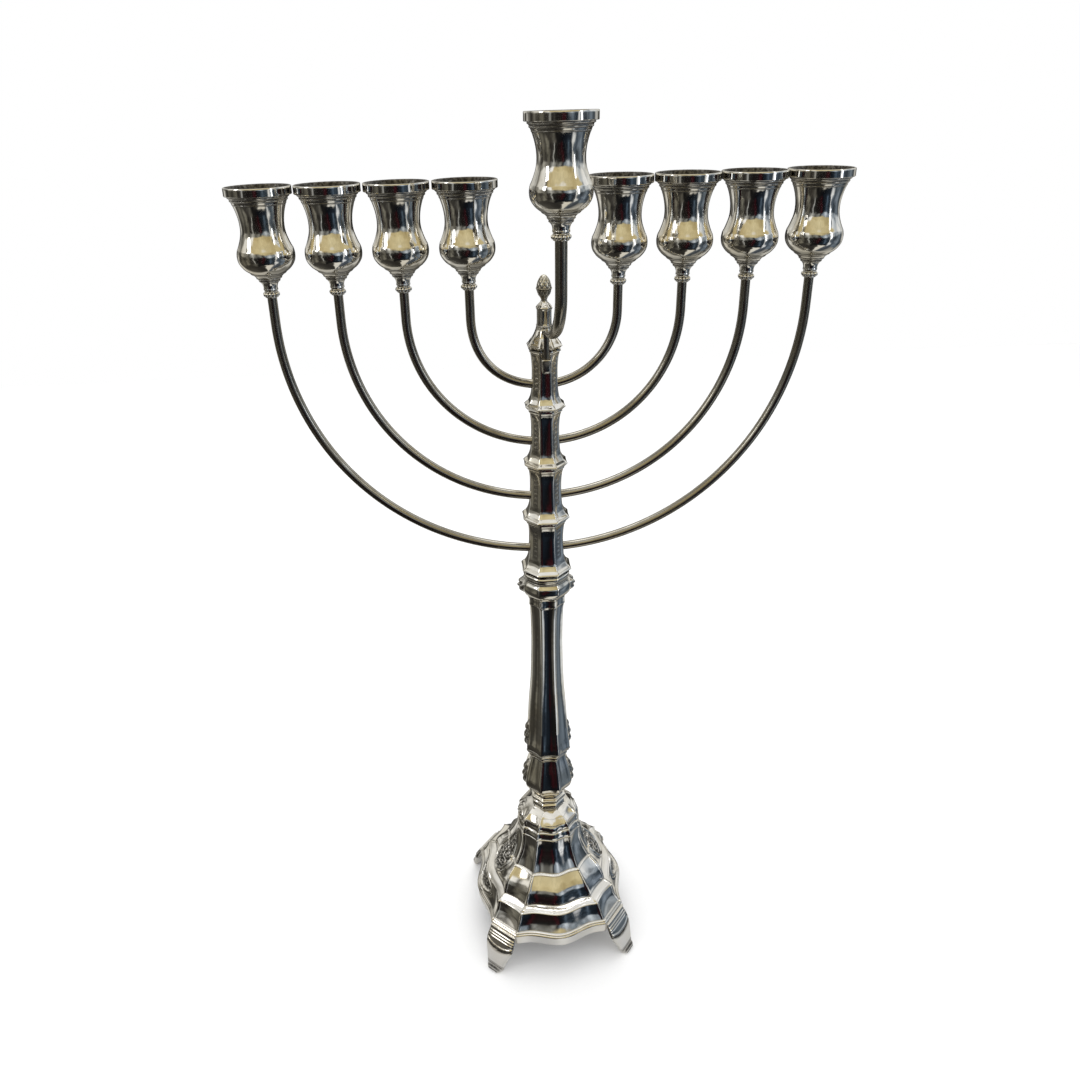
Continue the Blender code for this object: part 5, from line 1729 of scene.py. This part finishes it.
    def floor(self) -> None:
        """Lay the pale paper that the menorah stands on."""
        half = self.floor_half
        mesh = bpy.data.meshes.new("paper_floor")
        mesh.from_pydata([(-half, -half, 0), (half, -half, 0), (half, half, 0), (-half, half, 0)], [],
                         [(0, 1, 2, 3)])
        material = bpy.data.materials.new("white_paper")
        tree = empty_tree(material)
        spot = add(tree, "ShaderNodeTexCoord").outputs["Object"]
        grain = add(tree, "ShaderNodeTexNoise", {}, {"Vector": spot, "Scale": per_mm(2.0), "Detail": 2.0})
        tone = add(tree, "ShaderNodeMapRange", {}, {
            "Value": grain.outputs[0], "To Min": 0.93, "To Max": 0.96})
        shader = add(tree, "ShaderNodeBsdfPrincipled", {}, {
            "Base Color": tone.outputs[0], "Roughness": 0.9})
        add(tree, "ShaderNodeOutputMaterial", {}, {"Surface": shader.outputs[0]})
        mesh.materials.append(material)
        paper = bpy.data.objects.new("paper_floor", mesh)
        bpy.context.scene.collection.objects.link(paper)
        paper.visible_glossy = False

    def surround(self) -> None:
        """Hang the room that the silver mirrors, inside a white tent that lights the paper."""
        world = bpy.data.worlds.new("studio")
        bpy.context.scene.world = world
        tree = empty_tree(world)
        spot = add(tree, "ShaderNodeTexCoord").outputs["Generated"]
        clutter = add(tree, "ShaderNodeTexNoise", {}, {
            "Vector": spot, "Scale": 7.0, "Detail": 7.0, "Roughness": 0.62, "Distortion": 0.8})
        stray = add(tree, "ShaderNodeMath", {"operation": "SUBTRACT"}, {0: clutter.outputs[0], 1: 0.5})
        sway = add(tree, "ShaderNodeTexNoise", {}, {"Vector": spot, "Scale": 2.6, "Detail": 1.0})
        bent = add(tree, "ShaderNodeMath", {"operation": "SUBTRACT"}, {0: sway.outputs[0], 1: 0.5})
        way = add(tree, "ShaderNodeSeparateXYZ", {}, {"Vector": spot})
        ahead = add(tree, "ShaderNodeMath", {"operation": "MULTIPLY"}, {0: way.outputs["Y"], 1: -1.0})
        turn = add(tree, "ShaderNodeMath", {"operation": "ARCTAN2"}, {
            0: way.outputs["X"], 1: ahead.outputs[0]})
        turned = add(tree, "ShaderNodeMath", {"operation": "MULTIPLY_ADD"}, {
            0: turn.outputs[0], 1: 0.5 / math.pi, 2: 0.5})
        around = add(tree, "ShaderNodeMath", {"operation": "MULTIPLY_ADD"}, {
            0: bent.outputs[0], 1: self.sway_in_turn, 2: turned.outputs[0]})
        height = add(tree, "ShaderNodeMath", {"operation": "MULTIPLY_ADD"}, {
            0: bent.outputs[0], 1: self.sway_in_height, 2: way.outputs["Z"]})
        seen = None
        for zone in self.zones:
            stops = tuple((0.5 + turn_degrees / 360, code) for turn_degrees, code in zone.stops)
            colours = add(tree, "ShaderNodeValToRGB", {}, {"Fac": around.outputs[0]}, stops)
            light = add(tree, "ShaderNodeMath", {"operation": "MULTIPLY_ADD"}, {
                0: stray.outputs[0], 1: zone.clutter, 2: 1.0})
            lit = add(tree, "ShaderNodeVectorMath", {"operation": "SCALE"}, {
                0: colours.outputs[0], "Scale": light.outputs[0]})
            if seen is None:
                seen = lit.outputs[0]
                continue
            over = add(tree, "ShaderNodeMapRange", {"interpolation_type": "SMOOTHSTEP"}, {
                "Value": height.outputs[0], "From Min": zone.foot - zone.blur,
                "From Max": zone.foot + zone.blur})
            seen = add(tree, "ShaderNodeMix", {"data_type": "RGBA"}, {
                "Factor": over.outputs[0], "A": seen, "B": lit.outputs[0]}).outputs["Result"]
        mirrored = add(tree, "ShaderNodeLightPath").outputs["Is Glossy Ray"]
        colour = add(tree, "ShaderNodeMix", {"data_type": "RGBA"}, {
            "Factor": mirrored, "A": (1.0, 1.0, 1.0, 1.0), "B": seen}).outputs["Result"]
        glow = add(tree, "ShaderNodeBackground", {}, {"Color": colour, "Strength": 1.0})
        add(tree, "ShaderNodeOutputWorld", {}, {"Surface": glow.outputs[0]})

    def build(self) -> None:
        """Set up the studio, with plain contrast as a print has it."""
        bpy.context.scene.view_settings.view_transform = "Standard"
        self.floor()
        self.surround()
        for box in self.boxes:
            box.build()
        self.camera()


def main() -> None:
    """Build every sub-assembly in order, and the studio round it."""
    logging.basicConfig(level=logging.INFO, format="%(name)s: %(message)s")
    plate, base, tube, antique, brass = (finish.material() for finish in (
        POLISHED_PLATE, BASE_PLATE, TUBE_PLATE, ANTIQUE_PLATE, TURNED_BRASS))
    BellBase().build(base)
    TongueFoot().build(base)
    ClampFittings().build(brass)
    Column().build(plate, antique)
    Arms().build(plate, tube)
    Shamash().build(plate, tube)
    Studio().build()


if __name__ == "__main__":
    main()
